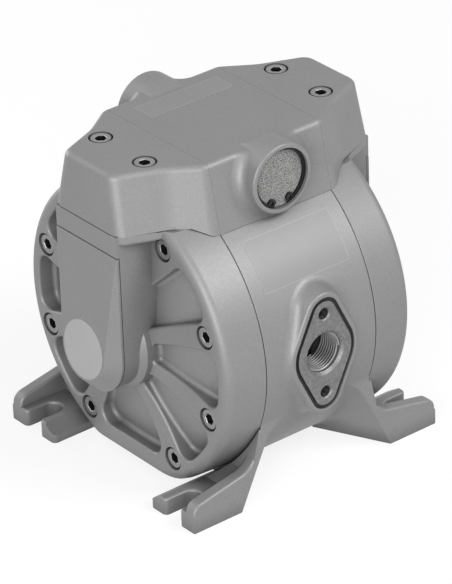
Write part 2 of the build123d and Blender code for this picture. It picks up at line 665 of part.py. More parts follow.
def cover_blank():
    """The turned blank of the +X cover: a flat rim and a face that rises to the hub."""
    rise = TangentArc((FACE_X, RIB_RISE_R), (RIB_HUB_X, RIB_TOP_R), tangent=(0, -1))
    back = Polyline((RIB_HUB_X, RIB_TOP_R), (RIB_HUB_X, 0), (SEAM_X, 0), (SEAM_X, CASING_R),
                    (FACE_X, CASING_R - COVER_TAPER), (FACE_X, RIB_RISE_R))
    blank = Pos(0, 0, AXIS_Z) * revolve(Plane.XZ * make_face(rise + back), Axis.X, 360)
    circles = blank.edges().filter_by(GeomType.CIRCLE)
    face_edge = [e for e in circles if e.radius > POCKET_OUT_R and e.center().X > FACE_X - 0.1]
    blank = fillet(face_edge, COVER_EDGE_R)
    circles = blank.edges().filter_by(GeomType.CIRCLE)
    seam = [e for e in circles if e.radius > POCKET_OUT_R and e.center().X < SEAM_X + 0.1]
    return chamfer(seam, SEAM_CHAMFER)


def pocket_rims(body):
    """Edges where the pockets meet the face above them."""
    tops = [e for e in body.edges() if e.center().X > FACE_X - 0.05 and abs(e.tangent_at(0.5).X) < 0.5]
    walls = [e for e in tops if HUB_R + 0.5 < from_axis(e) < CASING_R - COVER_EDGE_R - 2]
    return [e for e in walls if not lies_on_circle(e, RIB_RISE_R)]


def lies_on_circle(edge, radius):
    """True for an arc round the pump axis with this radius."""
    points = [edge @ t for t in (0, 0.5, 1)]
    return all(abs(math.hypot(p.Y, p.Z - AXIS_Z) - radius) < 0.01 for p in points)


def air_chamber():
    rim_r = DIAPHRAGM_R + RIM_PLAY
    rim_x = SEAM_X + RIM_T / 2
    space = turned((SEAM_X - 1, 0), (SEAM_X - 1, rim_r), (rim_x, rim_r), (rim_x, AIR_R), AIR_SHOULDER, AIR_SLOPE,
                   (AIR_X, PLATE_R + AIR_PLATE_ROOM), (AIR_X, AIR_CENTRE_R), (AIR_CENTRE_X, AIR_CENTRE_R),
                   (AIR_CENTRE_X, 0))
    space += x_cylinder(PILOT_BUSH_R + SLIP, AIR_CENTRE_X - 1, BOSS_X - BOSS_FRONT_T)
    space += z_cylinder(DUCT_R, DUCT_LOW_Z - DUCT_R - 1, COVER_SEAT_Z + 1, DUCT_X)
    space += x_cylinder(DUCT_R - 1, AIR_X - 3, DUCT_X, 0, DUCT_LOW_Z)
    low = COVER_SEAT_Z - SCREW_GRIP - 1
    for y in (-TOP_SCREW_Y, TOP_SCREW_Y):
        space += z_cylinder(SCREW_R + SLIP, low, COVER_SEAT_Z + 1, TOP_SCREW_X, y)
    space += extrude(yz_plane(DUCT_X + 1) * duct_window(), amount=BOSS_X - DUCT_X)
    space += boss_top_band()
    return space


def boss_top_band():
    """The boss front behind the panel lies deeper than the band above it."""
    deep = extrude(yz_plane(BOSS_X - PANEL_EDGE_T) * boss_outline(5), amount=20)
    return deep & block(0, REACH, -REACH, REACH, 0, PANEL_TOP_Z + PANEL_GAP)


def panel_rim():
    """Outline of the panel at its edge, in (y, z) about the pump axis."""
    top = PANEL_TOP_Z - AXIS_Z
    rim = Polyline((-BOSS_HALF_W, 0), (-BOSS_HALF_W, top), (BOSS_HALF_W, top), (BOSS_HALF_W, 0))
    return make_face(rim + ThreePointArc((BOSS_HALF_W, 0), (0, -BOSS_HALF_W), (-BOSS_HALF_W, 0)))


def duct_window(grow=0.0):
    """Opening of the air duct under the panel, in (y, z) about the pump axis."""
    height = PANEL_TOP_Z - WINDOW_TOP_GAP - DUCT_LOW_Z
    middle = Pos(0, DUCT_LOW_Z + height / 2 - AXIS_Z)
    return middle * SlotOverall(height + 2 * grow, 2 * (WINDOW_HALF_W + grow), rotation=90)


def duct_gasket():
    """Flat gasket between the boss and its panel."""
    sheet = panel_rim() - duct_window(GASKET_T)
    return extrude(yz_plane(BOSS_X - PANEL_EDGE_T) * sheet, amount=GASKET_T)


def panel():
    """The duct panel of the +X side: a tilted face over a round lower end."""
    back_x = BOSS_X - PANEL_EDGE_T + GASKET_T
    front_x = BOSS_X + PANEL_PROUD
    edge = extrude(yz_plane(back_x) * panel_rim(), amount=front_x - back_x)
    top = PANEL_TOP_Z - AXIS_Z
    lean = math.atan2(PANEL_FACE_X - PANEL_TOP_X, top)
    facing = (math.cos(lean), 0, math.sin(lean))
    tilted = Plane(origin=(PANEL_FACE_X, 0, AXIS_Z), x_dir=(0, 1, 0), z_dir=facing)
    crown_y = BOSS_HALF_W - PANEL_CROWN_INSET
    crown_z = (top - PANEL_CROWN_INSET) / math.cos(lean)
    crown = Polyline((-PANEL_DISC_R, 0), (-crown_y, crown_z), (crown_y, crown_z), (PANEL_DISC_R, 0))
    crown += ThreePointArc((PANEL_DISC_R, 0), (0, -PANEL_DISC_R), (-PANEL_DISC_R, 0))
    return edge + loft([yz_plane(front_x) * panel_rim(), tilted * make_face(crown)], ruled=True)


# Top housing

def housing_plan():
    """Plan of the top face with its tapered ends run out past the blocks."""
    slope = (HOUSING_BEND_HALF_W - HOUSING_END_HALF_W) / (HOUSING_END_X - HOUSING_BEND_X)
    run_out_x = HOUSING_END_X + HOUSING_RUN_OUT
    run_out_y = HOUSING_END_HALF_W - HOUSING_RUN_OUT * slope
    corner = [(run_out_x, run_out_y), (HOUSING_BEND_X, HOUSING_BEND_HALF_W),
              (HOUSING_MID_X, HOUSING_MID_HALF_W)]
    points = corner + [(-x, y) for x, y in reversed(corner)]
    points += [(-x, -y) for x, y in corner] + [(x, -y) for x, y in reversed(corner)]
    return make_face(Polyline(*points, close=True))


def drafted(face, height, draft):
    """From a plan at the top down to a wider one, with sloping sides."""
    wide = offset(face, amount=height * math.tan(math.radians(draft)), kind=Kind.INTERSECTION)
    return loft([Pos(0, 0, HOUSING_TOP_Z - height) * wide, Pos(0, 0, HOUSING_TOP_Z) * face], ruled=True)


def upright_edges(solid):
    return [e for e in solid.edges() if abs(e.tangent_at(0.5).Z) > 0.5]


def housing_envelope():
    """Outer form of the three blocks of the top housing together."""
    sides = drafted(housing_plan(), HOUSING_DEPTH, HOUSING_DRAFT)
    ends = drafted(Rectangle(2 * HOUSING_END_X, 4 * HOUSING_MID_HALF_W), HOUSING_DEPTH, HOUSING_END_DRAFT)
    form = sides & ends
    bends = [e for e in upright_edges(form) if abs(abs(e.center().X) - HOUSING_BEND_X) < HOUSING_RUN_OUT / 2]
    form = fillet(bends, HOUSING_BEND_R)
    corners = [e for e in upright_edges(form) if abs(abs(e.center().X) - HOUSING_MID_X) < 4
               or abs(e.center().X) > HOUSING_END_X - 1]
    form = fillet(corners, HOUSING_CORNER_R)
    return fillet(form.faces().sort_by(Axis.Z)[-1].edges(), HOUSING_TOP_R)


def end_block():
    """The end block of the +X side, with skirts that reach down over the drum."""
    form = housing_envelope()
    solid = form & block(SEAM_X + BLOCK_GAP, REACH, -REACH, REACH, COVER_SEAT_Z, REACH)
    skirt_z = CASING_SEAT_Z - SKIRT_DROP
    skirt = form & block(SEAM_X + BLOCK_GAP, FACE_X - COVER_EDGE_R, -REACH, REACH, skirt_z, COVER_SEAT_Z)
    skirt -= x_cylinder(CASING_R + SKIRT_GAP, SEAM_X - 1, FACE_X)
    solid += skirt
    seat_z = HOUSING_TOP_Z - HEAD_SINK - HEAD_H
    for y in (-TOP_SCREW_Y, TOP_SCREW_Y):
        solid -= z_cylinder(COUNTERBORE_R, seat_z, HOUSING_TOP_Z + 1, TOP_SCREW_X, y)
        solid -= z_cylinder(SCREW_R + HOLE_CLEARANCE, COVER_SEAT_Z - 1, HOUSING_TOP_Z, TOP_SCREW_X, y)
    solid -= z_cylinder(DUCT_R, COVER_SEAT_Z - 1, SPOOL_Z, DUCT_X)
    solid -= x_cylinder(DUCT_R, SEAM_X - 1, DUCT_X, 0, SPOOL_Z)
    return solid


def side_boss(way):
    """Round boss on the front (-1) or back (+1) of the valve housing, flaring into its sloping side."""
    lean = math.tan(math.radians(HOUSING_DRAFT))
    side_y = HOUSING_MID_HALF_W - BOSS_INSET
    span = HOUSING_TOP_Z - CASING_SEAT_Z
    side = Polyline((0, HOUSING_TOP_Z - 2 * span), (side_y + 2 * span * lean, HOUSING_TOP_Z - 2 * span),
                    (side_y - span * lean, HOUSING_TOP_Z + span), (0, HOUSING_TOP_Z + span), close=True)
    flared = extrude(Plane.YZ * make_face(side), amount=2 * EXHAUST_R + BOSS_FLARE_R, both=True)
    flared += y_cylinder(EXHAUST_R, 0, EXHAUST_Y + 2 * BOSS_FLARE_R, 0, BOSS_Z)
    foot_edges = [e for e in flared.edges() if is_boss_foot(e)]
    reach = EXHAUST_R + BOSS_FLARE_R + 1
    low = block(-reach, reach, EXHAUST_R, EXHAUST_Y, CASING_SEAT_Z, HOUSING_TOP_Z - BOSS_INSET)
    flared = fillet(foot_edges, BOSS_FLARE_R) & low
    top_edges = [e for e in flared.faces().sort_by(Axis.Z)[-1].edges() if e.center().Y > side_y - 1]
    brow = [e for e in top_edges if abs(e.tangent_at(0.5).Y) < 0.95 and abs(e.center().X) > 1]
    boss = fillet(brow, HOUSING_TOP_R) + y_cylinder(EXHAUST_R, EXHAUST_R, EXHAUST_Y, 0, BOSS_Z)
    boss = fillet(boss.faces().sort_by(Axis.Y)[-1].outer_wire().edges(), BOSS_EDGE_R)
    rise = BOSS_Z + EXHAUST_R - HOUSING_TOP_Z
    ramp = Polyline((0, HOUSING_TOP_Z - 1), (BOSS_BACK_Y, HOUSING_TOP_Z - 1),
                    (BOSS_BACK_Y + BOSS_SLOPE, HOUSING_TOP_Z + rise + 1), (0, HOUSING_TOP_Z + rise + 1), close=True)
    boss -= extrude(Plane.YZ * make_face(ramp), amount=reach, both=True)
    return boss if way > 0 else far * boss


def is_boss_foot(edge):
    """True for the edge where a side boss leaves the housing's sloping side."""
    middle = edge @ 0.5
    on_boss = abs(math.hypot(middle.X, middle.Z - BOSS_Z) - EXHAUST_R) < 0.02
    return on_boss and EXHAUST_R < middle.Y < EXHAUST_Y + BOSS_FLARE_R


def valve_housing():
    """Centre block of the top housing, with the bore of the air valve."""
    form = housing_envelope()
    solid = form & block(-SEAM_X + BLOCK_GAP, SEAM_X - BLOCK_GAP, -REACH, REACH, CASING_SEAT_Z, REACH)
    solid += side_boss(-1)
    solid += side_boss(1)
    solid -= x_cylinder(SLEEVE_R + SLIP, -SEAM_X - 1, SEAM_X + 1, 0, SPOOL_Z)
    mouth = -EXHAUST_Y
    solid -= y_cylinder(EXHAUST_BORE_R, mouth - 1, mouth + MUFFLER_SINK + MUFFLER_T, 0, BOSS_Z)
    disc_y = mouth + MUFFLER_SINK
    solid -= y_cylinder(EXHAUST_BORE_R + CIRCLIP_GROOVE, disc_y - CIRCLIP_T - CIRCLIP_PLAY, disc_y, 0, BOSS_Z)
    solid -= y_cylinder(EXHAUST_CHAMBER_R, mouth, -SLEEVE_R + 3, 0, BOSS_Z)
    solid -= y_cylinder(INLET_BUSH_R + SLIP, EXHAUST_Y + 1, EXHAUST_Y - INLET_DEPTH, 0, BOSS_Z)
    solid -= y_cylinder(AIR_PORT_R, EXHAUST_Y - INLET_DEPTH + 1, SLEEVE_R - 3, 0, SPOOL_Z)
    return solid


def muffler_disc():
    """Porous disc that lets the exhaust air out."""
    face = -EXHAUST_Y + MUFFLER_SINK
    return y_cylinder(EXHAUST_BORE_R - SLIP, face, face + MUFFLER_T, 0, BOSS_Z)


def circlip():
    """Inner retaining ring with two eyes, open at the bottom."""
    face = -EXHAUST_Y + MUFFLER_SINK - CIRCLIP_T
    outer = EXHAUST_BORE_R + CIRCLIP_GROOVE - CIRCLIP_EDGE_PLAY
    ring = Circle(outer) - Circle(outer - CIRCLIP_WIDTH)
    half_gap = math.radians(CIRCLIP_GAP / 2)
    reach = 2 * EXHAUST_R
    gap = Polyline((0, 0), (reach * math.sin(half_gap), -reach * math.cos(half_gap)),
                   (-reach * math.sin(half_gap), -reach * math.cos(half_gap)), close=True)
    ring -= make_face(gap)
    lug_turn = math.radians(CIRCLIP_GAP / 2 + LUG_TURN)
    lug_r = outer - LUG_R - LUG_INSET
    for side in (-1, 1):
        place = Pos(side * lug_r * math.sin(lug_turn), -lug_r * math.cos(lug_turn))
        ring += place * Circle(LUG_R)
        ring -= place * Circle(LUG_HOLE_R)
    return Pos(0, face + CIRCLIP_T, BOSS_Z) * extrude(Plane.XZ * ring, amount=CIRCLIP_T)


def air_inlet_bush():
    """Threaded bush in the back boss."""
    ring = y_cylinder(INLET_BUSH_R, EXHAUST_Y - INLET_DEPTH, EXHAUST_Y + INLET_PROUD, 0, BOSS_Z)
    return ring - y_cylinder(INLET_THREAD_R, EXHAUST_Y - INLET_DEPTH - 1, EXHAUST_Y + 1, 0, BOSS_Z)


# Air valve

def valve_sleeve():
    solid = x_cylinder(SLEEVE_R, -SLEEVE_HALF_L, SLEEVE_HALF_L, 0, SPOOL_Z)
    solid -= x_cylinder(SPOOL_R + SPOOL_PLAY, -SLEEVE_HALF_L - 1, SLEEVE_HALF_L + 1, 0, SPOOL_Z)
    for x in (-SLEEVE_PORT_X, SLEEVE_PORT_X):
        solid -= y_cylinder(AIR_PORT_R, -SLEEVE_R - 1, 0, x, SPOOL_Z)
    solid -= y_cylinder(AIR_PORT_R, 0, SLEEVE_R + 1, 0, SPOOL_Z)
    return solid


def valve_spool():
    """Spool at the near end of its travel."""
    x = -SPOOL_LEN / 2 - SPOOL_TRAVEL / 2
    land = SPOOL_LEN / (2 * SPOOL_LANDS)
    pitch = (SPOOL_LEN - land) / (SPOOL_LANDS - 1)
    outline = [(x, 0)]
    for i in range(SPOOL_LANDS):
        start = x + i * pitch
        outline += [(start, SPOOL_R), (start + land, SPOOL_R)]
        if i < SPOOL_LANDS - 1:
            outline += [(start + land, SPOOL_WAIST_R), (start + pitch, SPOOL_WAIST_R)]
    outline += [(x + SPOOL_LEN, 0)]
    return turned(*outline, z=SPOOL_Z)


def valve_caps():
    """Plugs at both ends of the air valve's bore."""
    caps = []
    for side in (-1, 1):
        start = side * (SLEEVE_HALF_L + CAP_GAP)
        caps.append(x_cylinder(SLEEVE_R, start, start + side * CAP_T, 0, SPOOL_Z))
    return Compound(caps)


# Rod, plates and diaphragms

def rod_end_x():
    return SEAM_X + MEMBRANE_T / 2 + PLATE_T + NUT_H + ROD_END


def rod():
    end = rod_end_x()
    inner_face = SEAM_X - MEMBRANE_T / 2 - PLATE_T
    return turned((-end, 0), (-end, ROD_THREAD_R), (-inner_face, ROD_THREAD_R), (-inner_face, ROD_R),
                  (inner_face, ROD_R), (inner_face, ROD_THREAD_R), (end, ROD_THREAD_R), (end, 0))


def plate(way):
    """A plate on the fluid (-1) or air (+1) side of the +X diaphragm, with a bulging edge and a bevelled back."""
    face = SEAM_X + way * MEMBRANE_T / 2
    profile = [(0, ROD_THREAD_R + SLIP), (0, PLATE_R), (PLATE_EDGE_T, PLATE_R + PLATE_BULGE),
               (2 * PLATE_EDGE_T, PLATE_R), (PLATE_T, PLATE_R - PLATE_BEVEL), (PLATE_T, ROD_THREAD_R + SLIP)]
    return turned(*[(face + way * t, radius) for t, radius in profile])


def inner_plate():
    return plate(-1)


def outer_plate():
    return plate(1)


def rod_nut():
    start = SEAM_X + MEMBRANE_T / 2 + PLATE_T
    hexagon = extrude(yz_plane(start) * RegularPolygon(NUT_AF / 2, 6, major_radius=False), amount=NUT_H)
    return hexagon - x_cylinder(ROD_THREAD_R + SLIP, start - 1, start + NUT_H + 1)


def diaphragm():
    """Rubber diaphragm with one convolution towards the fluid side, at mid stroke."""
    low, high = SEAM_X - MEMBRANE_T / 2, SEAM_X + MEMBRANE_T / 2
    rim_low, rim_high = SEAM_X - RIM_T / 2, SEAM_X + RIM_T / 2
    rim_in = CHAMBER_R + RIM_LIP
    bore = ROD_THREAD_R + SLIP
    mid_r = (PLATE_R + CHAMBER_R) / 2 + CONVOLUTION_SHIFT
    starts = [PLATE_R + gap for gap in CONVOLUTION_IN]
    ends = [CHAMBER_R - gap for gap in CONVOLUTION_OUT]
    fluid_side = ThreePointArc((low, starts[0]), (low - CONVOLUTION_H, mid_r), (low, ends[0]))
    air_side = ThreePointArc((high, ends[1]), (high - CONVOLUTION_H, mid_r), (high, starts[1]))
    rim = Polyline((low, ends[0]), (low, rim_in), (rim_low, rim_in), (rim_low, DIAPHRAGM_R),
                   (rim_high, DIAPHRAGM_R), (rim_high, rim_in), (high, rim_in), (high, ends[1]))
    hub = Polyline((high, starts[1]), (high, bore), (low, bore), (low, starts[0]))
    outline = fluid_side + rim + air_side + hub
    return Pos(0, 0, AXIS_Z) * revolve(Plane.XZ * make_face(outline), Axis.X, 360)


def rod_bushes():
    rings = []
    for side in (-1, 1):
        start = WEB_X - ROD_SEAL_W - BUSH_L
        ends = sorted((side * start, side * (start + BUSH_L)))
        rings.append(ring_x(BUSH_R, ROD_R + ROD_PLAY, *ends))
    return Compound(rings)


def rod_seals():
    rings = []
    for side in (-1, 1):
        ends = sorted((side * (WEB_X - ROD_SEAL_W), side * WEB_X))
        rings.append(ring_x(BUSH_R, ROD_R + ROD_PLAY, *ends))
    return Compound(rings)


# Pilot pins

def pilot_tip_x():
    return rod_end_x() + HALF_STROKE + PILOT_TOUCH


def pilot_head_x():
    return AIR_CENTRE_X + PILOT_BUSH_L + PILOT_HEAD_GAP


def pilot_pin():
    tip = pilot_tip_x()
    head = pilot_head_x()
    tail = head + PILOT_HEAD_T
    end = tail + PILOT_STUB_L
    return turned((tip, 0), (tip, PILOT_PIN_R), (head, PILOT_PIN_R), (head, PILOT_HEAD_R), (tail, PILOT_HEAD_R),
                  (tail, PILOT_STUB_R), (end, PILOT_STUB_R), (end, 0))


def pilot_bush():
    return ring_x(PILOT_BUSH_R, PILOT_PIN_R + ROD_PLAY, AIR_CENTRE_X, AIR_CENTRE_X + PILOT_BUSH_L)


def pilot_spring():
    start = pilot_head_x() + PILOT_HEAD_T + SPRING_WIRE_R + SPRING_GAP
    end = BOSS_X - BOSS_FRONT_T - SPRING_WIRE_R - SPRING_GAP
    length = end - start
    path = Helix(length / SPRING_TURNS, length, SPRING_R)
    wire = Plane(path @ 0, z_dir=path % 0) * Circle(SPRING_WIRE_R)
    coil = sweep(wire, path=path)
    return Pos(start, 0, AXIS_Z) * Rot(0, 90, 0) * coil


# Screws

def cover_screws():
    grip = FACE_X - HEAD_SINK - HEAD_H - SEAM_X + SCREW_GRIP
    screw = Rot(0, 90, 0) * socket_screw(grip)
    return Compound([Pos(FACE_X - HEAD_SINK, y, z) * screw for (y, z) in screw_places()])


def top_screws():
    length = HOUSING_TOP_Z - HEAD_SINK - HEAD_H - COVER_SEAT_Z + SCREW_GRIP
    screw = socket_screw(length)
    return Compound([Pos(x, y, HOUSING_TOP_Z - HEAD_SINK) * screw
                     for x in (-TOP_SCREW_X, TOP_SCREW_X) for y in (-TOP_SCREW_Y, TOP_SCREW_Y)])


def save(name, shape):
    export_step(shape, f"parts/{name}.step")


save("centre_casing", centre_casing())
save("inlet_valve_block", valve_block(INLET_SEAT, True))
save("outlet_valve_block", far * valve_block(OUTLET_SEAT, False))
save("inlet_port_seal", port_seal())
save("outlet_port_seal", far * port_seal())
save("inlet_seats", valve_seats(INLET_SEAT))
save("outlet_seats", far * valve_seats(OUTLET_SEAT))
save("inlet_plugs", valve_plugs(INLET_SEAT))
save("outlet_plugs", far * valve_plugs(OUTLET_SEAT))
save("inlet_ball_near", valve_ball(-VALVE_Y[0], INLET_SEAT))
save("inlet_ball_far", valve_ball(-VALVE_Y[1], INLET_SEAT))
save("outlet_ball_near", valve_ball(VALVE_Y[1], OUTLET_SEAT))
save("outlet_ball_far", valve_ball(VALVE_Y[0], OUTLET_SEAT))
save("rod_bushes", rod_bushes())
save("rod_seals", rod_seals())
save("diaphragm_rod", rod())
save("valve_housing", valve_housing())
save("valve_sleeve", valve_sleeve())
save("valve_spool", valve_spool())
save("valve_caps", valve_caps())
save("muffler_disc", muffler_disc())
save("muffler_circlip", circlip())
save("air_inlet_bush", air_inlet_bush())
save("top_screws", top_screws())

SIDED = {"cover": cover, "duct_gasket": duct_gasket, "duct_panel": panel, "end_block": end_block,
         "cover_screws": cover_screws, "diaphragm": diaphragm, "inner_plate": inner_plate,
         "outer_plate": outer_plate, "rod_nut": rod_nut, "pilot_pin": pilot_pin, "pilot_bush": pilot_bush,
         "pilot_spring": pilot_spring}
for name, make in SIDED.items():
    shape = make()
    save(f"{name}_far", shape)
    save(f"{name}_near", far * shape)
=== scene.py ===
"""The looks of an air operated double diaphragm pump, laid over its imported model."""
import math

import bmesh
import bpy
from bpy.props import FloatProperty, FloatVectorProperty, IntProperty, PointerProperty
from mathutils import Matrix, Vector


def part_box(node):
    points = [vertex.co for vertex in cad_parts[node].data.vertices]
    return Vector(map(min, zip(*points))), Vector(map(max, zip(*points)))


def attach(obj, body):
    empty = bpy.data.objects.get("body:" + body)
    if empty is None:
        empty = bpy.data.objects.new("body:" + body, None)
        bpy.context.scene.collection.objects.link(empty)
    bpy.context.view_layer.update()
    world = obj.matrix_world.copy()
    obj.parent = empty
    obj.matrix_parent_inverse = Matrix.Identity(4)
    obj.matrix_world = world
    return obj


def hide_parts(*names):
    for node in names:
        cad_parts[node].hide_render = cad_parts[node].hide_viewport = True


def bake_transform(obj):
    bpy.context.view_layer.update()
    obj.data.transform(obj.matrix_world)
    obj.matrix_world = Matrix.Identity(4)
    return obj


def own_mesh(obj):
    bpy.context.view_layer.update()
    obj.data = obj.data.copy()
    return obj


bl_info = {
    "name": "Air operated diaphragm pump",
    "version": (1, 0, 0),
    "blender": (4, 5, 0),
    "location": "3D View > Sidebar > Pump",
    "description": "Finishes, screws, threads, films, joint lines, diaphragms and springs of the pump",
    "category": "Add Mesh",
}

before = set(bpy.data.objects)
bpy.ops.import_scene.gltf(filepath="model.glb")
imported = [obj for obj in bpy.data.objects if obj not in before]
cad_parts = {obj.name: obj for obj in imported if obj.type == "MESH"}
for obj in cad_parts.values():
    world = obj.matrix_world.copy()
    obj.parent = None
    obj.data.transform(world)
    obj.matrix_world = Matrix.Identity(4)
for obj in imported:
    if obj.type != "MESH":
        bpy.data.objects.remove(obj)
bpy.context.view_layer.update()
MM = 0.001
BODY = "pump_body"
ENDS = ((1, "far"), (-1, "near"))              # the pump's two ends, by the sign of X
AXIS = Vector((0, 0, 86.2 * MM))               # the pump axis runs along X through this point
SEAM_X = 39.85 * MM                            # joint between the centre casing and each cover
PORT_Y = 94.8 * MM                             # face of each port plate
SCREW_ANGLES = (29.3, 70.0, 109.7, 149.8)      # cover screws on either side, in degrees from the top
SENSOR_HEIGHT = 36                             # of the camera, in millimetres
PHOTO_HEIGHT = 584                             # in pixels
FOCAL_PIXELS = 4219.74                         # focal length in pixels, from the fit to the photo

# Each area light: its name, its place and size in metres, and the setting that holds its power
LIGHTS = (
    ("key_light", (-1.65, -1.21, 0.74), 1.5, "key"),
    ("fill_light", (0.77, -1.43, 1.57), 1.0, "fill"),
    ("back_light", (-0.3, 2.1, 0.7), 1.4, "back"),
)


def linear(hex_colour):
    """Linear colour of an sRGB hex value."""
    parts = [int(hex_colour[i:i + 2], 16) / 255 for i in (1, 3, 5)]
    return [c / 12.92 if c <= 0.04045 else ((c + 0.055) / 1.055) ** 2.4 for c in parts]


def colour(name, hex_colour, description):
    """A colour that a user can change."""
    return FloatVectorProperty(name=name, description=description, subtype="COLOR", size=3, min=0, max=1,
                               default=linear(hex_colour))


def length(name, millimetres, description):
    """A length that a user can change."""
    return FloatProperty(name=name, description=description, unit="LENGTH", precision=5,
                         default=millimetres * MM)


def angle(name, degrees, description):
    """An angle that a user can change."""
    return FloatProperty(name=name, description=description, subtype="ANGLE", default=math.radians(degrees))


# Sizes and colours that a user would change

class PumpColours(bpy.types.PropertyGroup):
    """Colours of the finishes"""
    paint: colour("Paint", "#868686", "Silver-grey paint of the castings")
    blasted: colour("Blasted alloy", "#7c7c7c", "Unpainted port plates")
    cut: colour("Cut alloy", "#9c9c9c", "Threads of the ports")
    zinc: colour("Zinc plating", "#8f8f90", "Socket screws")
    steel: colour("Steel", "#b4b3b0", "Rod, nuts, pins and springs")
    turned: colour("Turned aluminium", "#bfc0c2", "Plates, spool and caps")
    brass: colour("Brass", "#b99a58", "Bushes and the valve's sleeve")
    # This black is also painted shade on the joint lines between the castings
    rubber: colour("Rubber", "#141414", "Cords, seals, gaskets, joint lines and diaphragms")
    # Near black: the circlip's own blackened steel, and painted shade on the tapped holes' threads
    black_steel: colour("Blackened steel", "#2a2a2b", "Circlip and threads of the tapped holes")
    # Painted shade: near black for the screws' sockets and head sides and for the roots of the threads
    shadow: colour("Painted shade dark", "#151515", "Sockets and knurled sides of the screws, roots of the threads")
    sinter: colour("Sintered disc", "#acacab", "Porous disc of the exhaust")
    plastic: colour("Plastic", "#e6e3da", "Valve balls, seats and plugs")
    film: colour("Film", "#888888", "Bare label films on the casings")
    pale_film: colour("Pale film", "#a9a9a9", "Bare round films on the panels")
    # Painted highlight: a lighter line along the films' edges, where they catch the light
    film_edge: colour("Film edge", "#9c9c9c", "Cut edge of the films")


class PumpGrain(bpy.types.PropertyGroup):
    """Real sizes of the surface patterns"""
    cast: length("Cast skin", 0.9, "Grain of the blasted and painted cast skin")
    flake: length("Paint flake", 0.35, "Flakes in the paint, drawn coarser than they are so that they show")
    blast: length("Blasted skin", 0.7, "Pits of the blasted port plates")
    turning: length("Turning marks", 0.25, "Distance between turning marks")
    bead: length("Sintered beads", 0.5, "Beads of the disc, drawn coarser than they are so that they show")


class PumpScrews(bpy.types.PropertyGroup):
    """Socket head screws"""
    head: length("Head radius", 6.5, "Radius of a screw's head")
    socket: length("Socket width", 6, "Distance across the socket's flats")
    depth: length("Socket depth", 4.5, "Depth of the socket")
    shank: length("Shank radius", 4, "Radius of the thread")
    circle: length("Screw circle", 77.2, "Radius of the circle of cover screws")
    cover_x: length("Cover screw heads", 66.5, "Distance of the cover screws' heads from the middle")
    cover_seat: length("Cover screw seats", 57.3, "Distance of the cover screws' seats from the middle")
    cover_grip: length("Cover screw length", 31.45, "Shank of a cover screw")
    top_x: length("Top screw X", 63.2, "Distance of the top screws from the middle, along the pump axis")
    top_y: length("Top screw Y", 19.8, "Distance of the top screws from the middle, across the pump axis")
    top_z: length("Top screw heads", 200.05, "Height of the top screws' heads")
    top_seat: length("Top screw seats", 190.25, "Height of the top screws' seats")
    top_grip: length("Top screw length", 38.75, "Shank of a top screw")


class PumpThreads(bpy.types.PropertyGroup):
    """Threads in the ports, the air inlet and the tapped holes"""
    port_radius: length("Port core radius", 12.06, "Core of the G 3/4 thread")
    port_pitch: length("Port pitch", 1.814, "14 turns to the inch")
    port_depth: length("Port depth", 18.2, "Length of the port's thread")
    port_height: length("Port ridge", 0.9, "Height of the port's ridge")
    port_start: length("Port start", 1.2, "Distance of the first turn from the port plate's face")
    air_radius: length("Air inlet core radius", 7.48, "Core of the G 3/8 thread")
    air_pitch: length("Air inlet pitch", 1.337, "19 turns to the inch")
    air_depth: length("Air inlet depth", 15, "Length of the air inlet's thread")
    air_height: length("Air inlet ridge", 0.7, "Height of the air inlet's ridge")
    air_y: length("Air inlet start", 61.6, "Distance of its first turn from the middle")
    air_z: length("Air inlet centre", 183.4, "Height of the air inlet")
    tap_radius: length("Tapped hole radius", 3.4, "Core of the M8 holes in the port plates")
    tap_pitch: length("Tapped hole pitch", 1.25, "Pitch of M8")
    tap_depth: length("Tapped hole depth", 13, "Length of a tapped hole's thread")
    tap_height: length("Tapped hole ridge", 0.4, "Height of a tapped hole's ridge")
    tap_start: length("Tapped hole start", 0.9, "Distance of the first turn from the port plate's face")
    tap_offset: length("Tapped hole offset", 25, "Distance of the tapped holes above and below the pump axis")
    steps: IntProperty(name="Steps", description="Faces in one turn of a thread", default=48, min=12, max=96)


class PumpFilms(bpy.types.PropertyGroup):
    """Bare label films"""
    side_half: length("Side film half length", 30.5, "Half the length of the film above the front port")
    side_start: angle("Side film start", 42.0, "Upper edge, as an angle from the vertical")
    side_end: angle("Side film end", 62.0, "Lower edge, as an angle from the vertical")
    side_radius: length("Side film radius", 92.02, "Distance of its face from the pump axis")
    round_radius: length("Round film radius", 17.8, "Film on the flat of the duct panel")
    round_x: length("Round film place", 97.56, "Distance of its centre from the middle")
    top_half: length("Top film half length", 29.5, "Half the length of the film on the top face")
    top_middle: length("Top film middle", 1.8, "Middle of that film along the pump axis")
    top_near: length("Top film near edge", 19, "Its edge nearer to the middle of the top face")
    top_far: length("Top film far edge", 35.4, "Its other edge")
    top_z: length("Top film height", 200.36, "Height of its face")
    thickness: length("Thickness", 0.14, "Thickness of the films")
    # The lighter edge line is a painted highlight
    border: length("Edge width", 0.4, "Width of the lighter line along a film's edge")


class PumpStudio(bpy.types.PropertyGroup):
    """Camera and light"""
    azimuth: angle("Azimuth", -37.93, "Direction of the camera")
    elevation: angle("Elevation", 29.27, "Height of the camera")
    roll: angle("Roll", -2.18, "Turn of the camera about its own line of sight")
    distance: FloatProperty(name="Distance", description="Camera to the target", unit="LENGTH",
                            default=2.40241)
    focal: FloatProperty(name="Focal length", description="In millimetres, for a sensor 36 mm high",
                         default=FOCAL_PIXELS * SENSOR_HEIGHT / PHOTO_HEIGHT)
    background: colour("Background", "#f4f4f4", "What the camera sees behind the floor")
    floor: FloatProperty(name="Floor", description="Grey of the floor, as light falls on it", default=0.2,
                         min=0, max=1)
    glow: FloatProperty(name="Floor glow", description="How far the camera sees the floor white",
                        default=0.82, min=0)
    key: FloatProperty(name="Key light", description="Power of the large soft light", default=43, min=0)
    fill: FloatProperty(name="Fill light", description="Power of the light from the right", default=31, min=0)
    back: FloatProperty(name="Back light", description="Power of the light from behind", default=20, min=0)
    world: FloatProperty(name="World light", description="Strength of the even light", default=0.2, min=0)


# Building blocks for meshes

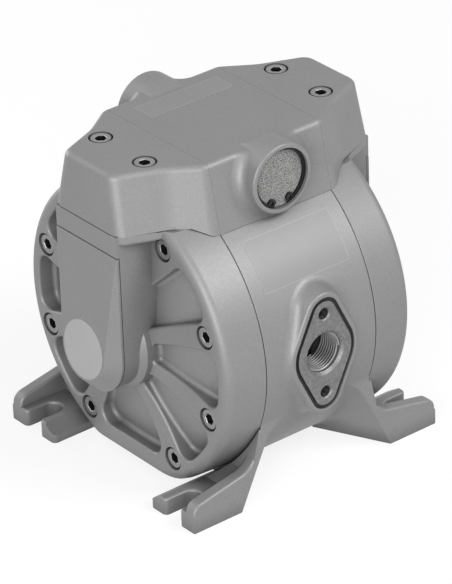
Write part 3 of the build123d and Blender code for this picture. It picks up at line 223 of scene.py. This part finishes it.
def finished_piece(name, bm, materials, body=BODY, sharp=35.0):
    """Turns a bmesh into an object that rides on a body."""
    bmesh.ops.recalc_face_normals(bm, faces=bm.faces)
    mesh = bpy.data.meshes.new(name)
    bm.to_mesh(mesh)
    bm.free()
    for finish in materials:
        mesh.materials.append(finish)
    mesh.shade_smooth()
    mesh.set_sharp_from_angle(angle=math.radians(sharp))
    piece = bpy.data.objects.new(name, mesh)
    bpy.context.scene.collection.objects.link(piece)
    if body:
        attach(piece, body)
    return piece


def grown_ring(bm, edges, scale, rise):
    """Extrudes a ring of edges about Z, scales it in its plane and lifts it. Returns the new ring."""
    made = bmesh.ops.extrude_edge_only(bm, edges=edges)["geom"]
    points = [g for g in made if isinstance(g, bmesh.types.BMVert)]
    bmesh.ops.scale(bm, vec=(scale, scale, 1), verts=points)
    bmesh.ops.translate(bm, vec=(0, 0, rise), verts=points)
    return [g for g in made if isinstance(g, bmesh.types.BMEdge) and all(v in points for v in g.verts)]


def spun(bm, profile, about, axis, turn, steps, rise=(0, 0, 0)):
    """Spins a closed row of points about an axis; rise moves each step on, which makes a helix."""
    row = [bm.verts.new(point) for point in profile]
    edges = [bm.edges.new(pair) for pair in zip(row, row[1:] + row[:1])]
    bmesh.ops.spin(bm, geom=row + edges, cent=about, axis=axis, dvec=rise, angle=turn, steps=steps,
                   use_merge=False)
    bmesh.ops.remove_doubles(bm, verts=bm.verts, dist=1e-7)
    bmesh.ops.holes_fill(bm, edges=[e for e in bm.edges if e.is_boundary])


def copies(template, places):
    """One bmesh with a copy of the template at each place."""
    bm = bmesh.new()
    for place in places:
        mesh = template.copy()
        mesh.transform(place)
        bm.from_mesh(mesh)
        bpy.data.meshes.remove(mesh)
    return bm


# Building blocks for materials

def feed(tree, node, inputs):
    """Sets a node's inputs, each to a value, to a socket or to the first output of another node."""
    for name, value in inputs.items():
        if isinstance(value, bpy.types.Node):
            value = value.outputs[0]
        if isinstance(value, bpy.types.NodeSocket):
            tree.links.new(value, node.inputs[name])
        else:
            node.inputs[name].default_value = value


def add(tree, kind, inputs=None, **settings):
    """Adds a node with its settings and its inputs."""
    node = tree.nodes.new(kind)
    for name, value in settings.items():
        setattr(node, name, value)
    feed(tree, node, inputs or {})
    return node


def blank_material(name):
    """A material with only its shader, its tree and its object coordinates."""
    made = bpy.data.materials.new(name)
    made.use_nodes = True
    tree = made.node_tree
    shader = tree.nodes["Principled BSDF"]
    place = add(tree, "ShaderNodeTexCoord").outputs["Object"]
    return made, tree, shader, place


def patch_scale(size):
    """Scale of a noise texture whose patches are about that size in metres."""
    return 0.5 / size


def spread(tree, pattern, low, high):
    """A number that follows the middle of a noise pattern from low to high."""
    return add(tree, "ShaderNodeMapRange", {"Value": pattern, "From Min": 0.3, "From Max": 0.7,
                                            "To Min": low, "To Max": high})


def scaled(tree, base, strength):
    """The base colour times a strength."""
    return add(tree, "ShaderNodeVectorMath", {0: base, "Scale": strength}, operation="SCALE")


def tinted(tree, base, pattern, low, high):
    """The base colour scaled between two strengths by a noise pattern."""
    return scaled(tree, base, spread(tree, pattern, low, high))


def shaded_in_recesses(tree, base, reach, darkest):
    """Painted shade: the base colour darkened by ambient occlusion in corners and recesses that are about
    that deep in metres.
    """
    corner = add(tree, "ShaderNodeAmbientOcclusion", {"Distance": reach}, samples=8)
    shade = add(tree, "ShaderNodeMapRange", {"Value": corner.outputs["AO"], "From Min": 0.2,
                                             "From Max": 0.85, "To Min": darkest, "To Max": 1.0})
    return scaled(tree, base, shade)


def painted_casting(name):
    """Silver-grey two-pack paint on a blasted aluminium casting: an even satin grey that rolls off softly at
    the edges, with a fine orange-peel grain, faint cloudiness and painted shade darkening the corners and
    recesses."""
    tones = bpy.context.scene.pump_colours
    grain = bpy.context.scene.pump_grain
    made, tree, shader, place = blank_material(name)
    clouds = add(tree, "ShaderNodeTexNoise", {"Vector": place, "Scale": patch_scale(30 * MM), "Detail": 3.0})
    flakes = add(tree, "ShaderNodeTexNoise", {"Vector": place, "Scale": patch_scale(grain.flake),
                                              "Detail": 1.0})
    skin = add(tree, "ShaderNodeTexNoise", {"Vector": place, "Scale": patch_scale(grain.cast), "Detail": 3.0,
                                            "Roughness": 0.6})
    base = tinted(tree, tones.paint, clouds, 0.96, 1.04)
    base = tinted(tree, base, flakes, 0.92, 1.08)
    feed(tree, shader, {
        # Painted shade: the paint darkened in corners and recesses
        "Base Color": shaded_in_recesses(tree, base, reach=16 * MM, darkest=0.35),
        "Roughness": spread(tree, skin, 0.42, 0.5),
        "Metallic": 0.2,
        "Normal": add(tree, "ShaderNodeBump", {"Height": skin, "Strength": 0.12, "Distance": 0.06 * MM}),
    })
    return made


def blasted_alloy(name):
    """Shot-blasted cast aluminium, left unpainted: dull grey, mottled, with bright specks and small pits, and
    painted shade darkening its bores and recesses.
    """
    tones = bpy.context.scene.pump_colours
    grain = bpy.context.scene.pump_grain
    made, tree, shader, place = blank_material(name)
    pits = add(tree, "ShaderNodeTexNoise", {"Vector": place, "Scale": patch_scale(grain.blast),
                                            "Detail": 3.0, "Roughness": 0.65})
    patches = add(tree, "ShaderNodeTexNoise", {"Vector": place, "Scale": patch_scale(4 * MM),
                                               "Detail": 4.0, "Roughness": 0.6})
    base = tinted(tree, tones.blasted, patches, 0.85, 1.12)
    base = tinted(tree, base, pits, 0.74, 1.22)
    feed(tree, shader, {
        # Painted shade: the alloy darkened down to near black in bores and recesses
        "Base Color": shaded_in_recesses(tree, base, reach=12 * MM, darkest=0.12),
        "Roughness": spread(tree, patches, 0.42, 0.58),
        "Metallic": 0.6,
        "Normal": add(tree, "ShaderNodeBump", {"Height": pits, "Strength": 0.35, "Distance": 0.12 * MM}),
    })
    return made


def sintered_beads(name):
    """Sintered beads: matt pale grains with dark pores between them."""
    tones = bpy.context.scene.pump_colours
    grain = bpy.context.scene.pump_grain
    made, tree, shader, place = blank_material(name)
    cells = add(tree, "ShaderNodeTexVoronoi", {"Vector": place, "Scale": 1 / grain.bead})
    shade = add(tree, "ShaderNodeMapRange", {"Value": cells.outputs["Distance"], "From Min": 0.25,
                                             "From Max": 0.65, "To Min": 1.15, "To Max": 0.25})
    clouds = add(tree, "ShaderNodeTexNoise", {"Vector": place, "Scale": patch_scale(2 * MM)})
    feed(tree, shader, {
        "Base Color": tinted(tree, scaled(tree, tones.sinter, shade), clouds, 0.92, 1.08),
        "Roughness": 0.8,
        "Normal": add(tree, "ShaderNodeBump", {"Height": shade, "Strength": 0.7, "Distance": 0.2 * MM}),
    })
    return made


def plain_metal(name, tone, roughness, metallic):
    """A machined or plated metal: clear reflections, slightly broken by fine turning marks, with painted
    shade in its recesses.
    """
    grain = bpy.context.scene.pump_grain
    made, tree, shader, place = blank_material(name)
    marks = add(tree, "ShaderNodeTexNoise", {"Vector": place, "Scale": patch_scale(grain.turning)})
    patches = add(tree, "ShaderNodeTexNoise", {"Vector": place, "Scale": patch_scale(6 * MM), "Detail": 3.0})
    feed(tree, shader, {
        # Painted shade: the metal darkened in sockets and recesses
        "Base Color": shaded_in_recesses(tree, tinted(tree, tone, patches, 0.92, 1.05), reach=6 * MM, darkest=0.12),
        "Roughness": spread(tree, marks, roughness * 0.85, roughness * 1.2),
        "Metallic": metallic,
        "Normal": add(tree, "ShaderNodeBump", {"Height": marks, "Strength": 0.1, "Distance": 0.03 * MM}),
    })
    return made


def moulded(name, tone, roughness, size):
    """Moulded rubber or plastic: a soft sheen over a faint mould texture of that size in millimetres."""
    made, tree, shader, place = blank_material(name)
    skin = add(tree, "ShaderNodeTexNoise", {"Vector": place, "Scale": patch_scale(size * MM)})
    clouds = add(tree, "ShaderNodeTexNoise", {"Vector": place, "Scale": patch_scale(8 * MM)})
    feed(tree, shader, {
        "Base Color": tinted(tree, tone, clouds, 0.85, 1.15),
        "Roughness": spread(tree, skin, roughness * 0.9, roughness * 1.15),
        "IOR": 1.5,
        "Normal": add(tree, "ShaderNodeBump", {"Height": skin, "Strength": 0.15, "Distance": 0.04 * MM}),
    })
    return made


def label_film(name, tone):
    """Matt polyester film, even in tone and smoother than the paint around it."""
    made, tree, shader, place = blank_material(name)
    clouds = add(tree, "ShaderNodeTexNoise", {"Vector": place, "Scale": patch_scale(12 * MM)})
    skin = add(tree, "ShaderNodeTexNoise", {"Vector": place, "Scale": patch_scale(0.8 * MM)})
    feed(tree, shader, {
        "Base Color": tinted(tree, tone, clouds, 0.98, 1.02),
        "Roughness": spread(tree, skin, 0.36, 0.44),
        "IOR": 1.5,
    })
    return made


# Each finish: its maker, its colour in PumpColours and what else the maker takes
FINISHES = {
    "painted_casting": (painted_casting,),
    "blasted_alloy": (blasted_alloy,),
    "sintered_beads": (sintered_beads,),
    "cut_alloy": (plain_metal, "cut", 0.34, 0.85),                 # as the tap left it: bright crests
    "zinc_plated_steel": (plain_metal, "zinc", 0.42, 0.7),         # thin plating: soft grey gloss
    "oiled_steel": (plain_metal, "shadow", 0.5, 0.2),              # painted shade in sockets, head sides and thread roots: near black
    "ground_steel": (plain_metal, "steel", 0.24, 1.0),             # ground bar: crisp pale gloss
    "turned_aluminium": (plain_metal, "turned", 0.34, 1.0),        # from the lathe: pale, broken gloss
    "turned_brass": (plain_metal, "brass", 0.3, 1.0),              # from the lathe: warm yellow gloss
    "blackened_steel": (plain_metal, "black_steel", 0.45, 0.6),    # blackened in oil: dark satin; on the tapped holes' threads, painted shade
    "nitrile_rubber": (moulded, "rubber", 0.55, 0.6),              # moulded: black with a low sheen; on the joint lines, painted shade
    "moulded_plastic": (moulded, "plastic", 0.35, 1.0),            # moulded: cream, half glossy
    "label_film": (label_film, "film"),                            # printed grey: near the paint's tone
    "pale_film": (label_film, "pale_film"),                        # the same, a little paler
    "film_edge": (label_film, "film_edge"),                        # painted highlight along the film's edge
}


def material(name):
    """The named finish, made once."""
    if name not in bpy.data.materials:
        maker, *values = FINISHES[name]
        if values:
            values[0] = getattr(bpy.context.scene.pump_colours, values[0])
        maker(name, *values)
    return bpy.data.materials[name]


NODE_FINISHES = {
    "painted_casting": ["centre_casing", "cover_far", "cover_near", "duct_panel_far", "duct_panel_near",
                        "end_block_far", "end_block_near", "valve_housing"],
    "blasted_alloy": ["inlet_valve_block", "outlet_valve_block"],
    "zinc_plated_steel": ["cover_screws_far", "cover_screws_near", "top_screws", "air_inlet_bush"],
    "ground_steel": ["diaphragm_rod", "rod_nut_far", "rod_nut_near", "pilot_pin_far", "pilot_pin_near",
                     "pilot_spring_far", "pilot_spring_near"],
    "turned_aluminium": ["inner_plate_far", "inner_plate_near", "outer_plate_far", "outer_plate_near",
                         "valve_spool", "valve_caps"],
    "turned_brass": ["valve_sleeve", "rod_bushes", "pilot_bush_far", "pilot_bush_near"],
    "blackened_steel": ["muffler_circlip"],
    "nitrile_rubber": ["inlet_port_seal", "outlet_port_seal", "rod_seals", "duct_gasket_far",
                       "duct_gasket_near", "diaphragm_far", "diaphragm_near"],
    "moulded_plastic": ["inlet_ball_far", "inlet_ball_near", "outlet_ball_far", "outlet_ball_near",
                        "inlet_seats", "outlet_seats", "inlet_plugs", "outlet_plugs"],
    "sintered_beads": ["muffler_disc"],
}


class PUMP_OT_finishes(bpy.types.Operator):
    """Give every node of the model its finish"""
    bl_idname = "pump.finishes"
    bl_label = "Finish the model's nodes"

    def execute(self, context):
        left = set(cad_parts)
        for finish, nodes in NODE_FINISHES.items():
            for name in nodes:
                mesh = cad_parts[name].data
                mesh.materials.clear()
                mesh.materials.append(material(finish))
                left.discard(name)
        if left:
            raise RuntimeError(f"nodes without a finish: {sorted(left)}")
        return {"FINISHED"}


# Screws

def socket_screw(head_height, shank_length):
    """Mesh of a socket head screw along -Z, its head's top at the origin."""
    sizes = bpy.context.scene.pump_screws
    segments = 48
    bevel, end_chamfer, end_scale = 0.7 * MM, 0.8 * MM, 0.8
    drill_cone, drill_tip = 0.9 * MM, 0.05       # depth of the cone under the socket, and its tip's scale
    bm = bmesh.new()
    hexagon = bmesh.ops.create_circle(bm, segments=6, radius=(sizes.socket + bevel) / math.sqrt(3))["verts"]
    sides = list({e for v in hexagon for e in v.link_edges})
    bmesh.ops.subdivide_edges(bm, edges=sides, cuts=segments // 6 - 1)
    mouth = bm.edges[:]
    rim = bmesh.ops.create_circle(bm, segments=segments, radius=sizes.head - bevel)["verts"]
    bmesh.ops.rotate(bm, verts=rim, cent=(0, 0, 0), matrix=Matrix.Rotation(math.radians(90), 3, "Z"))
    outer = list({e for v in rim for e in v.link_edges})
    bmesh.ops.bridge_loops(bm, edges=mouth + outer)
    inner = grown_ring(bm, mouth, sizes.socket / (sizes.socket + bevel), -bevel / 2)
    walls = grown_ring(bm, inner, 1.0, bevel / 2 - sizes.depth)
    bottom = grown_ring(bm, walls, drill_tip, -drill_cone)
    bmesh.ops.contextual_create(bm, geom=bottom)
    ring = grown_ring(bm, outer, sizes.head / (sizes.head - bevel), -bevel)
    ring = grown_ring(bm, ring, 1.0, bevel - head_height)
    # Painted shade: the socket and the head's side take the second, near black finish
    for face in bm.faces:
        if face.calc_center_median().z < -bevel / 4:
            face.material_index = 1
    ring = grown_ring(bm, ring, sizes.shank / sizes.head, 0)
    ring = grown_ring(bm, ring, 1.0, end_chamfer - shank_length)
    ring = grown_ring(bm, ring, end_scale, -end_chamfer)
    bmesh.ops.contextual_create(bm, geom=ring)
    mesh = bpy.data.meshes.new("socket_screw")
    bm.to_mesh(mesh)
    bm.free()
    return mesh


class PUMP_OT_screws(bpy.types.Operator):
    """Make the socket head screws of the covers and of the top housing"""
    bl_idname = "pump.screws"
    bl_label = "Socket screws"

    def execute(self, context):
        sizes = context.scene.pump_screws
        # The second finish is painted shade for the sockets and the heads' sides
        finish = [material("zinc_plated_steel"), material("oiled_steel")]
        # Each screw is turned about itself by radians of its own, so that their sockets don't stand alike
        template = socket_screw(sizes.cover_x - sizes.cover_seat, sizes.cover_grip)
        for side, name in ENDS:
            facing = Matrix.Rotation(side * math.pi / 2, 4, "Y")
            places = []
            for index, turn in enumerate(map(math.radians, SCREW_ANGLES)):
                for way in (-1, 1):
                    centre = AXIS + Vector((side * sizes.cover_x, way * sizes.circle * math.sin(turn),
                                            sizes.circle * math.cos(turn)))
                    own_turn = Matrix.Rotation(0.7 * index + 0.35 * way, 4, "Z")
                    places.append(Matrix.Translation(centre) @ facing @ own_turn)
            piece = finished_piece(f"socket_screws_{name}", copies(template, places), finish)
            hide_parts(f"cover_screws_{name}")
        template = socket_screw(sizes.top_z - sizes.top_seat, sizes.top_grip)
        places = [Matrix.Translation((x * sizes.top_x, y * sizes.top_y, sizes.top_z))
                  @ Matrix.Rotation(0.5 * x + 0.3 * y, 4, "Z") for x in (-1, 1) for y in (-1, 1)]
        piece = finished_piece("socket_screws_top", copies(template, places), finish)
        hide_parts("top_screws")
        return {"FINISHED"}


# Threads

def thread(radius, pitch, depth, height, steps):
    """Mesh of the ridge of an inner thread along -Z from the origin."""
    turns = int(depth / pitch) - 0.5
    wall, root, crest = radius + 0.1 * MM, radius - 0.05 * MM, radius - height
    # The ridge's section, each point by its radius and its share of the pitch
    ridge = ((wall, 0.02), (root, 0.02), (root, 0.3), (crest, 0.58), (crest, 0.7), (root, 0.98), (wall, 0.98))
    bm = bmesh.new()
    spun(bm, [(r, 0, -share * pitch) for r, share in ridge], (0, 0, 0), (0, 0, 1), 2 * math.pi * turns,
         int(turns * steps), (0, 0, -pitch / steps))
    bmesh.ops.recalc_face_normals(bm, faces=bm.faces)
    # Painted shade: roots and the flanks that face into the hole take the second, near black finish
    for face in bm.faces:
        near_root = face.calc_center_median().xy.length > root - height * 0.3
        if near_root or face.normal.z < -0.3:
            face.material_index = 1
    mesh = bpy.data.meshes.new("thread")
    bm.to_mesh(mesh)
    bm.free()
    return mesh


class PUMP_OT_threads(bpy.types.Operator):
    """Make the threads of the ports, the air inlet and the tapped holes"""
    bl_idname = "pump.threads"
    bl_label = "Threads"

    def execute(self, context):
        sizes = context.scene.pump_threads
        port = thread(sizes.port_radius, sizes.port_pitch, sizes.port_depth, sizes.port_height, sizes.steps)
        tap = thread(sizes.tap_radius, sizes.tap_pitch, sizes.tap_depth, sizes.tap_height, sizes.steps // 2)
        air = thread(sizes.air_radius, sizes.air_pitch, sizes.air_depth, sizes.air_height, sizes.steps)
        for name, turn in (("inlet", 0.0), ("outlet", math.pi)):
            places = [self.place(turn, PORT_Y - sizes.port_start, AXIS.z)]
            piece = self.threaded(f"{name}_port_thread", port, places, "cut_alloy")
            places = [self.place(turn, PORT_Y - sizes.tap_start, AXIS.z + z)
                      for z in (-sizes.tap_offset, sizes.tap_offset)]
            # The tapped holes' threads are drawn near black: painted shade in the holes
            piece = self.threaded(f"{name}_flange_threads", tap, places, "blackened_steel")
        places = [self.place(math.pi, sizes.air_y, sizes.air_z)]
        piece = self.threaded("air_inlet_thread", air, places, "zinc_plated_steel")
        return {"FINISHED"}

    def place(self, turn, y, z):
        """Where a thread starts, that far in front of the middle, or behind it after half a turn."""
        return (Matrix.Rotation(turn, 4, "Z") @ Matrix.Translation((0, -y, z))
                @ Matrix.Rotation(math.pi / 2, 4, "X"))

    def threaded(self, name, template, places, metal):
        """The piece made of a thread at some places, with painted shade on its roots and inner flanks."""
        return finished_piece(name, copies(template, places), [material(metal), material("oiled_steel")])


# Bare films

def bare_film(name, bm, place=None, finish="label_film"):
    """Turns a flat sheet into a film with a painted highlight, a lighter line, along its edge."""
    sizes = bpy.context.scene.pump_films
    bmesh.ops.recalc_face_normals(bm, faces=bm.faces)
    edge = bmesh.ops.inset_region(bm, faces=bm.faces[:], thickness=sizes.border, use_even_offset=True,
                                  use_boundary=True)["faces"]
    # Painted highlight: the edge strip takes the lighter finish
    for face in edge:
        face.material_index = 1
    if place:
        bmesh.ops.transform(bm, matrix=place, verts=bm.verts)
    bmesh.ops.solidify(bm, geom=bm.faces[:], thickness=-sizes.thickness)
    film = finished_piece(name, bm, [material(finish), material("film_edge")])


class PUMP_OT_films(bpy.types.Operator):
    """Lay the bare films on the casing, the top housing and the duct panels"""
    bl_idname = "pump.films"
    bl_label = "Bare films"

    def execute(self, context):
        sizes = context.scene.pump_films
        bm = bmesh.new()
        up = Vector((0, -math.sin(sizes.side_start), math.cos(sizes.side_start)))
        start = AXIS + up * sizes.side_radius
        ends = [bm.verts.new(start + Vector((x * sizes.side_half, 0, 0))) for x in (-1, 1)]
        edge = bm.edges.new(ends)
        bmesh.ops.spin(bm, geom=ends + [edge], cent=AXIS, axis=(1, 0, 0), dvec=(0, 0, 0),
                       angle=sizes.side_end - sizes.side_start, steps=16, use_merge=False)
        bare_film("casing_film", bm)
        bm = bmesh.new()
        near, far = sizes.top_near, sizes.top_far
        bm.faces.new([bm.verts.new((sizes.top_middle + x * sizes.top_half, y, sizes.top_z))
                      for x, y in ((-1, near), (1, near), (1, far), (-1, far))])
        bare_film("top_film", bm)
        # The panels lean in by 6 mm from the pump axis to a height of 152 mm
        lean = math.atan2(6.0 * MM, 152.0 * MM - AXIS.z)
        for side, name in ENDS:
            bm = bmesh.new()
            bmesh.ops.create_circle(bm, cap_ends=True, segments=64, radius=sizes.round_radius)
            place = (Matrix.Rotation(0 if side > 0 else math.pi, 4, "Z")
                     @ Matrix.Translation((sizes.round_x, 0, AXIS.z))
                     @ Matrix.Rotation(math.pi / 2 - lean, 4, "Y"))
            bare_film(f"panel_film_{name}", bm, place, "pale_film")
        return {"FINISHED"}


# Joints

class PUMP_OT_joints(bpy.types.Operator):
    """Lay dark lines of painted shade in the gaps between the casing and the covers and under the end blocks
    """
    bl_idname = "pump.joints"
    bl_label = "Joint lines"

    def execute(self, context):
        for side, name in ENDS:
            # The joint lines take the black rubber finish as painted shade in the gaps
            line = finished_piece(f"joint_line_{name}", self.seam_shade_line(side), [material("nitrile_rubber")])
            line = finished_piece(f"seat_line_{name}", self.seat_shade_line(side), [material("nitrile_rubber")])
        return {"FINISHED"}

    def seam_shade_line(self, side):
        """A dark line of painted shade in the groove between the casing and a cover, down both sides from the
        top housing to the feet.
        """
        outer, depth, half = 91.8 * MM, 0.5 * MM, 0.28 * MM
        first, last = math.radians(33.0), math.radians(150.0)
        groove = ((-half, outer), (half, outer), (0.2 * half, outer - depth), (-0.2 * half, outer - depth))
        bm = bmesh.new()
        for start in (2 * math.pi - last, first):
            section = [(side * SEAM_X + x, -math.sin(start) * r, AXIS.z + math.cos(start) * r)
                       for x, r in groove]
            spun(bm, section, AXIS, (1, 0, 0), last - first, 72)
        return bm

    def seat_shade_line(self, side):
        """A dark line of painted shade in the joint between an end block and its cover, along the block's
        lower edge and round its end.
        """
        seat, half, proud, deep = 165.5, 0.3, 0.05, 0.5       # its height, and its section, in millimetres
        corner, corner_x, corner_y = 9.0, 81.99, 22.35
        turn, steps = math.radians(67.4), 8
        rounded = [(corner_x + corner * math.cos(a), corner_y + corner * math.sin(a))
                   for a in (turn * (1 - i / steps) for i in range(steps + 1))]
        flank = [(60.11, 42.29), (61.6, 41.29), (63.15, 40.35), (64.9, 39.4), (66.25, 38.75), (67.63, 38.15)]
        path = [(x, -y) for x, y in flank + rounded] + [*reversed(rounded), *reversed(flank)]
        outer, inner = [], []
        for before, here, after in zip(path[:1] + path, path, path[1:] + path[-1:]):
            along = (Vector(after) - Vector(before)).normalized()
            out = Vector((along.y, -along.x))
            outer.append(Vector(here) + out * proud)
            inner.append(Vector(here) - out * deep)
        bm = bmesh.new()
        outline = [bm.verts.new((side * p.x * MM, p.y * MM, (seat - half) * MM))
                   for p in outer + inner[::-1]]
        made = bmesh.ops.extrude_face_region(bm, geom=[bm.faces.new(outline)])["geom"]
        upper = [g for g in made if isinstance(g, bmesh.types.BMVert)]
        bmesh.ops.translate(bm, vec=(0, 0, 2 * half * MM), verts=upper)
        return bm


# Moving soft pieces

class PUMP_OT_diaphragms(bpy.types.Operator):
    """Make the diaphragms in sectors, each bulging between the rod's plates and the clamped rim"""
    bl_idname = "pump.diaphragms"
    bl_label = "Diaphragms"

    def execute(self, context):
        # Millimetres: radii from the pump axis, then distances from the middle of the rubber
        bore, hub, outer, clamp, bead, rim = 6.1, 36.0, 62.0, 61.0, 64.5, 71.0
        half, bead_half, bulge = 1.4, 2.0, 5.0
        sectors, steps, points = 12, 3, 8
        turn = 2 * math.pi / sectors
        bend = [(hub + (outer - hub) * i / points, -bulge * math.sin(math.pi * i / points))
                for i in range(points + 1)]
        low = [(bore, -half), *((r, x - half) for r, x in bend), (bead, -half), (bead, -bead_half),
               (rim, -bead_half)]
        high = [(rim, bead_half), (bead, bead_half), (bead, half),
                *((r, x + half) for r, x in reversed(bend)), (bore, half)]
        for side, name in ENDS:
            for sector in range(sectors):
                bm = bmesh.new()
                profile = [(side * (SEAM_X + x * MM), 0, AXIS.z + r * MM) for r, x in low + high]
                spun(bm, profile, AXIS, (1, 0, 0), turn, steps)
                middle = turn * sector
                bmesh.ops.rotate(bm, verts=bm.verts, cent=AXIS,
                                 matrix=Matrix.Rotation(middle - turn / 2, 3, "X"))
                piece = finished_piece(f"diaphragm_{name}_sector_{sector + 1}", bm,
                                       [material("nitrile_rubber")], body=None)
                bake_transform(piece)
                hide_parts(f"diaphragm_{name}")
        return {"FINISHED"}


class PUMP_OT_springs(bpy.types.Operator):
    """Make the pilot springs as coils in place of the model's springs"""
    bl_idname = "pump.springs"
    bl_label = "Pilot springs"

    def execute(self, context):
        turns, radius, wire = 5, 4.4 * MM, 0.5 * MM      # the radii of the coil and of its wire
        steps, sides = 24, 8
        for side, name in ENDS:
            low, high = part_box(f"pilot_spring_{name}")
            length_x = high[0] - low[0] - 2 * wire
            start = side * (min(abs(low[0]), abs(high[0])) + wire)
            bm = bmesh.new()
            section = [(start + wire * math.cos(a), 0, AXIS.z + radius + wire * math.sin(a))
                       for a in (i * 2 * math.pi / sides for i in range(sides))]
            spun(bm, section, AXIS, (1, 0, 0), 2 * math.pi * turns, steps * turns,
                 (side * length_x / (steps * turns), 0, 0))
            piece = finished_piece(f"pilot_coil_{name}", bm, [material("ground_steel")], sharp=60.0)
            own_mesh(piece)
            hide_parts(f"pilot_spring_{name}")
        return {"FINISHED"}


# Studio

class PUMP_OT_studio(bpy.types.Operator):
    """Set up the floor, the lights and the camera"""
    bl_idname = "pump.studio"
    bl_label = "Studio"

    def execute(self, context):
        sizes = context.scene.pump_studio
        self.floor(sizes)
        self.lights(context.scene, sizes)
        self.camera(context.scene, sizes)
        context.scene.view_settings.view_transform = "Standard"
        return {"FINISHED"}

    def floor(self, sizes):
        """A wide matt floor that takes the pump's shadow and is pale to the camera."""
        bm = bmesh.new()
        bmesh.ops.create_grid(bm, x_segments=8, y_segments=8, size=6)
        made, tree, shader, _ = blank_material("pale_floor")
        feed(tree, shader, {
            "Base Color": (sizes.floor, sizes.floor, sizes.floor, 1),
            "Roughness": 0.9,
            "Specular IOR Level": 0.1,
            "Emission Color": (1, 1, 1, 1),
            "Emission Strength": add(tree, "ShaderNodeMath", {0: self.seen(tree), 1: sizes.glow},
                                     operation="MULTIPLY"),
        })
        piece = finished_piece("floor", bm, [made], body=None)

    def seen(self, tree):
        """1 where the camera looks, straight or through metal and glass, and 0 where light only bounces."""
        rays = add(tree, "ShaderNodeLightPath").outputs
        straight = add(tree, "ShaderNodeMath", {0: rays["Is Camera Ray"], 1: rays["Is Glossy Ray"]},
                       operation="MAXIMUM")
        return add(tree, "ShaderNodeMath", {0: straight, 1: rays["Is Transmission Ray"]}, operation="MAXIMUM")

    def lights(self, scene, sizes):
        """The even light of the world, which the camera sees as a pale background, and the soft lamps."""
        world = bpy.data.worlds.new("studio")
        scene.world = world
        world.use_nodes = True
        tree = world.node_tree
        feed(tree, tree.nodes["Background"], {
            "Color": (*sizes.background, 1),
            "Strength": add(tree, "ShaderNodeMapRange", {"Value": self.seen(tree), "To Min": sizes.world,
                                                         "To Max": 1.0}),
        })
        target = Vector((0, 0, 100 * MM))
        for name, place, size, power in LIGHTS:
            data = bpy.data.lights.new(name, "AREA")
            data.shape = "SQUARE"
            data.size = size
            data.energy = getattr(sizes, power)
            light = bpy.data.objects.new(name, data)
            scene.collection.objects.link(light)
            facing = (target - Vector(place)).to_track_quat("-Z", "Y").to_matrix().to_4x4()
            light.matrix_world = Matrix.Translation(place) @ facing

    def camera(self, scene, sizes):
        """The camera as the fit to the photo gives it: its direction, roll and place beside the target."""
        target, aside, below = Vector((0, 0, 120 * MM)), 5.39 * MM, 29.61 * MM
        az, el, roll = sizes.azimuth, sizes.elevation, sizes.roll
        back = Vector((math.sin(az) * math.cos(el), -math.cos(az) * math.cos(el), math.sin(el)))
        right = Vector((math.cos(az), math.sin(az), 0))
        up = back.cross(right)
        across = math.cos(roll) * right + math.sin(roll) * up
        upward = math.cos(roll) * up - math.sin(roll) * right
        centre = target + back * sizes.distance + across * aside - upward * below
        data = bpy.data.cameras.new("camera")
        data.sensor_fit = "VERTICAL"
        data.sensor_height = SENSOR_HEIGHT
        data.lens = sizes.focal
        data.clip_end = 20
        camera = bpy.data.objects.new("camera", data)
        scene.collection.objects.link(camera)
        turn = Matrix((across, upward, back)).transposed().to_4x4()
        camera.matrix_world = Matrix.Translation(centre) @ turn
        scene.camera = camera


class PUMP_PT_panel(bpy.types.Panel):
    """Sizes, colours and pieces of the pump"""
    bl_idname = "PUMP_PT_panel"
    bl_label = "Diaphragm pump"
    bl_space_type = "VIEW_3D"
    bl_region_type = "UI"
    bl_category = "Pump"

    def draw(self, context):
        for operator in OPERATORS:
            self.layout.operator(operator.bl_idname)
        for name in GROUPS:
            group = getattr(context.scene, name)
            box = self.layout.box()
            box.label(text=group.bl_rna.description)
            for key in group.bl_rna.properties.keys():
                if key not in {"rna_type", "name"}:
                    box.prop(group, key)


GROUPS = {"pump_colours": PumpColours, "pump_grain": PumpGrain, "pump_screws": PumpScrews,
          "pump_threads": PumpThreads, "pump_films": PumpFilms, "pump_studio": PumpStudio}
OPERATORS = (PUMP_OT_finishes, PUMP_OT_screws, PUMP_OT_threads, PUMP_OT_films, PUMP_OT_joints,
             PUMP_OT_diaphragms, PUMP_OT_springs, PUMP_OT_studio)


def register():
    """Registers the settings, the operators and the panel."""
    for name, group in GROUPS.items():
        bpy.utils.register_class(group)
        setattr(bpy.types.Scene, name, PointerProperty(type=group))
    for operator in OPERATORS:
        bpy.utils.register_class(operator)
    bpy.utils.register_class(PUMP_PT_panel)


def unregister():
    """Takes all of them out again."""
    bpy.utils.unregister_class(PUMP_PT_panel)
    for operator in reversed(OPERATORS):
        bpy.utils.unregister_class(operator)
    for name, group in reversed(GROUPS.items()):
        delattr(bpy.types.Scene, name)
        bpy.utils.unregister_class(group)


def main():
    """Makes the pieces, the finishes and the studio."""
    register()
    bpy.ops.pump.finishes()
    bpy.ops.pump.screws()
    bpy.ops.pump.threads()
    bpy.ops.pump.films()
    bpy.ops.pump.joints()
    bpy.ops.pump.diaphragms()
    bpy.ops.pump.springs()
    bpy.ops.pump.studio()


if __name__ == "__main__":
    main()
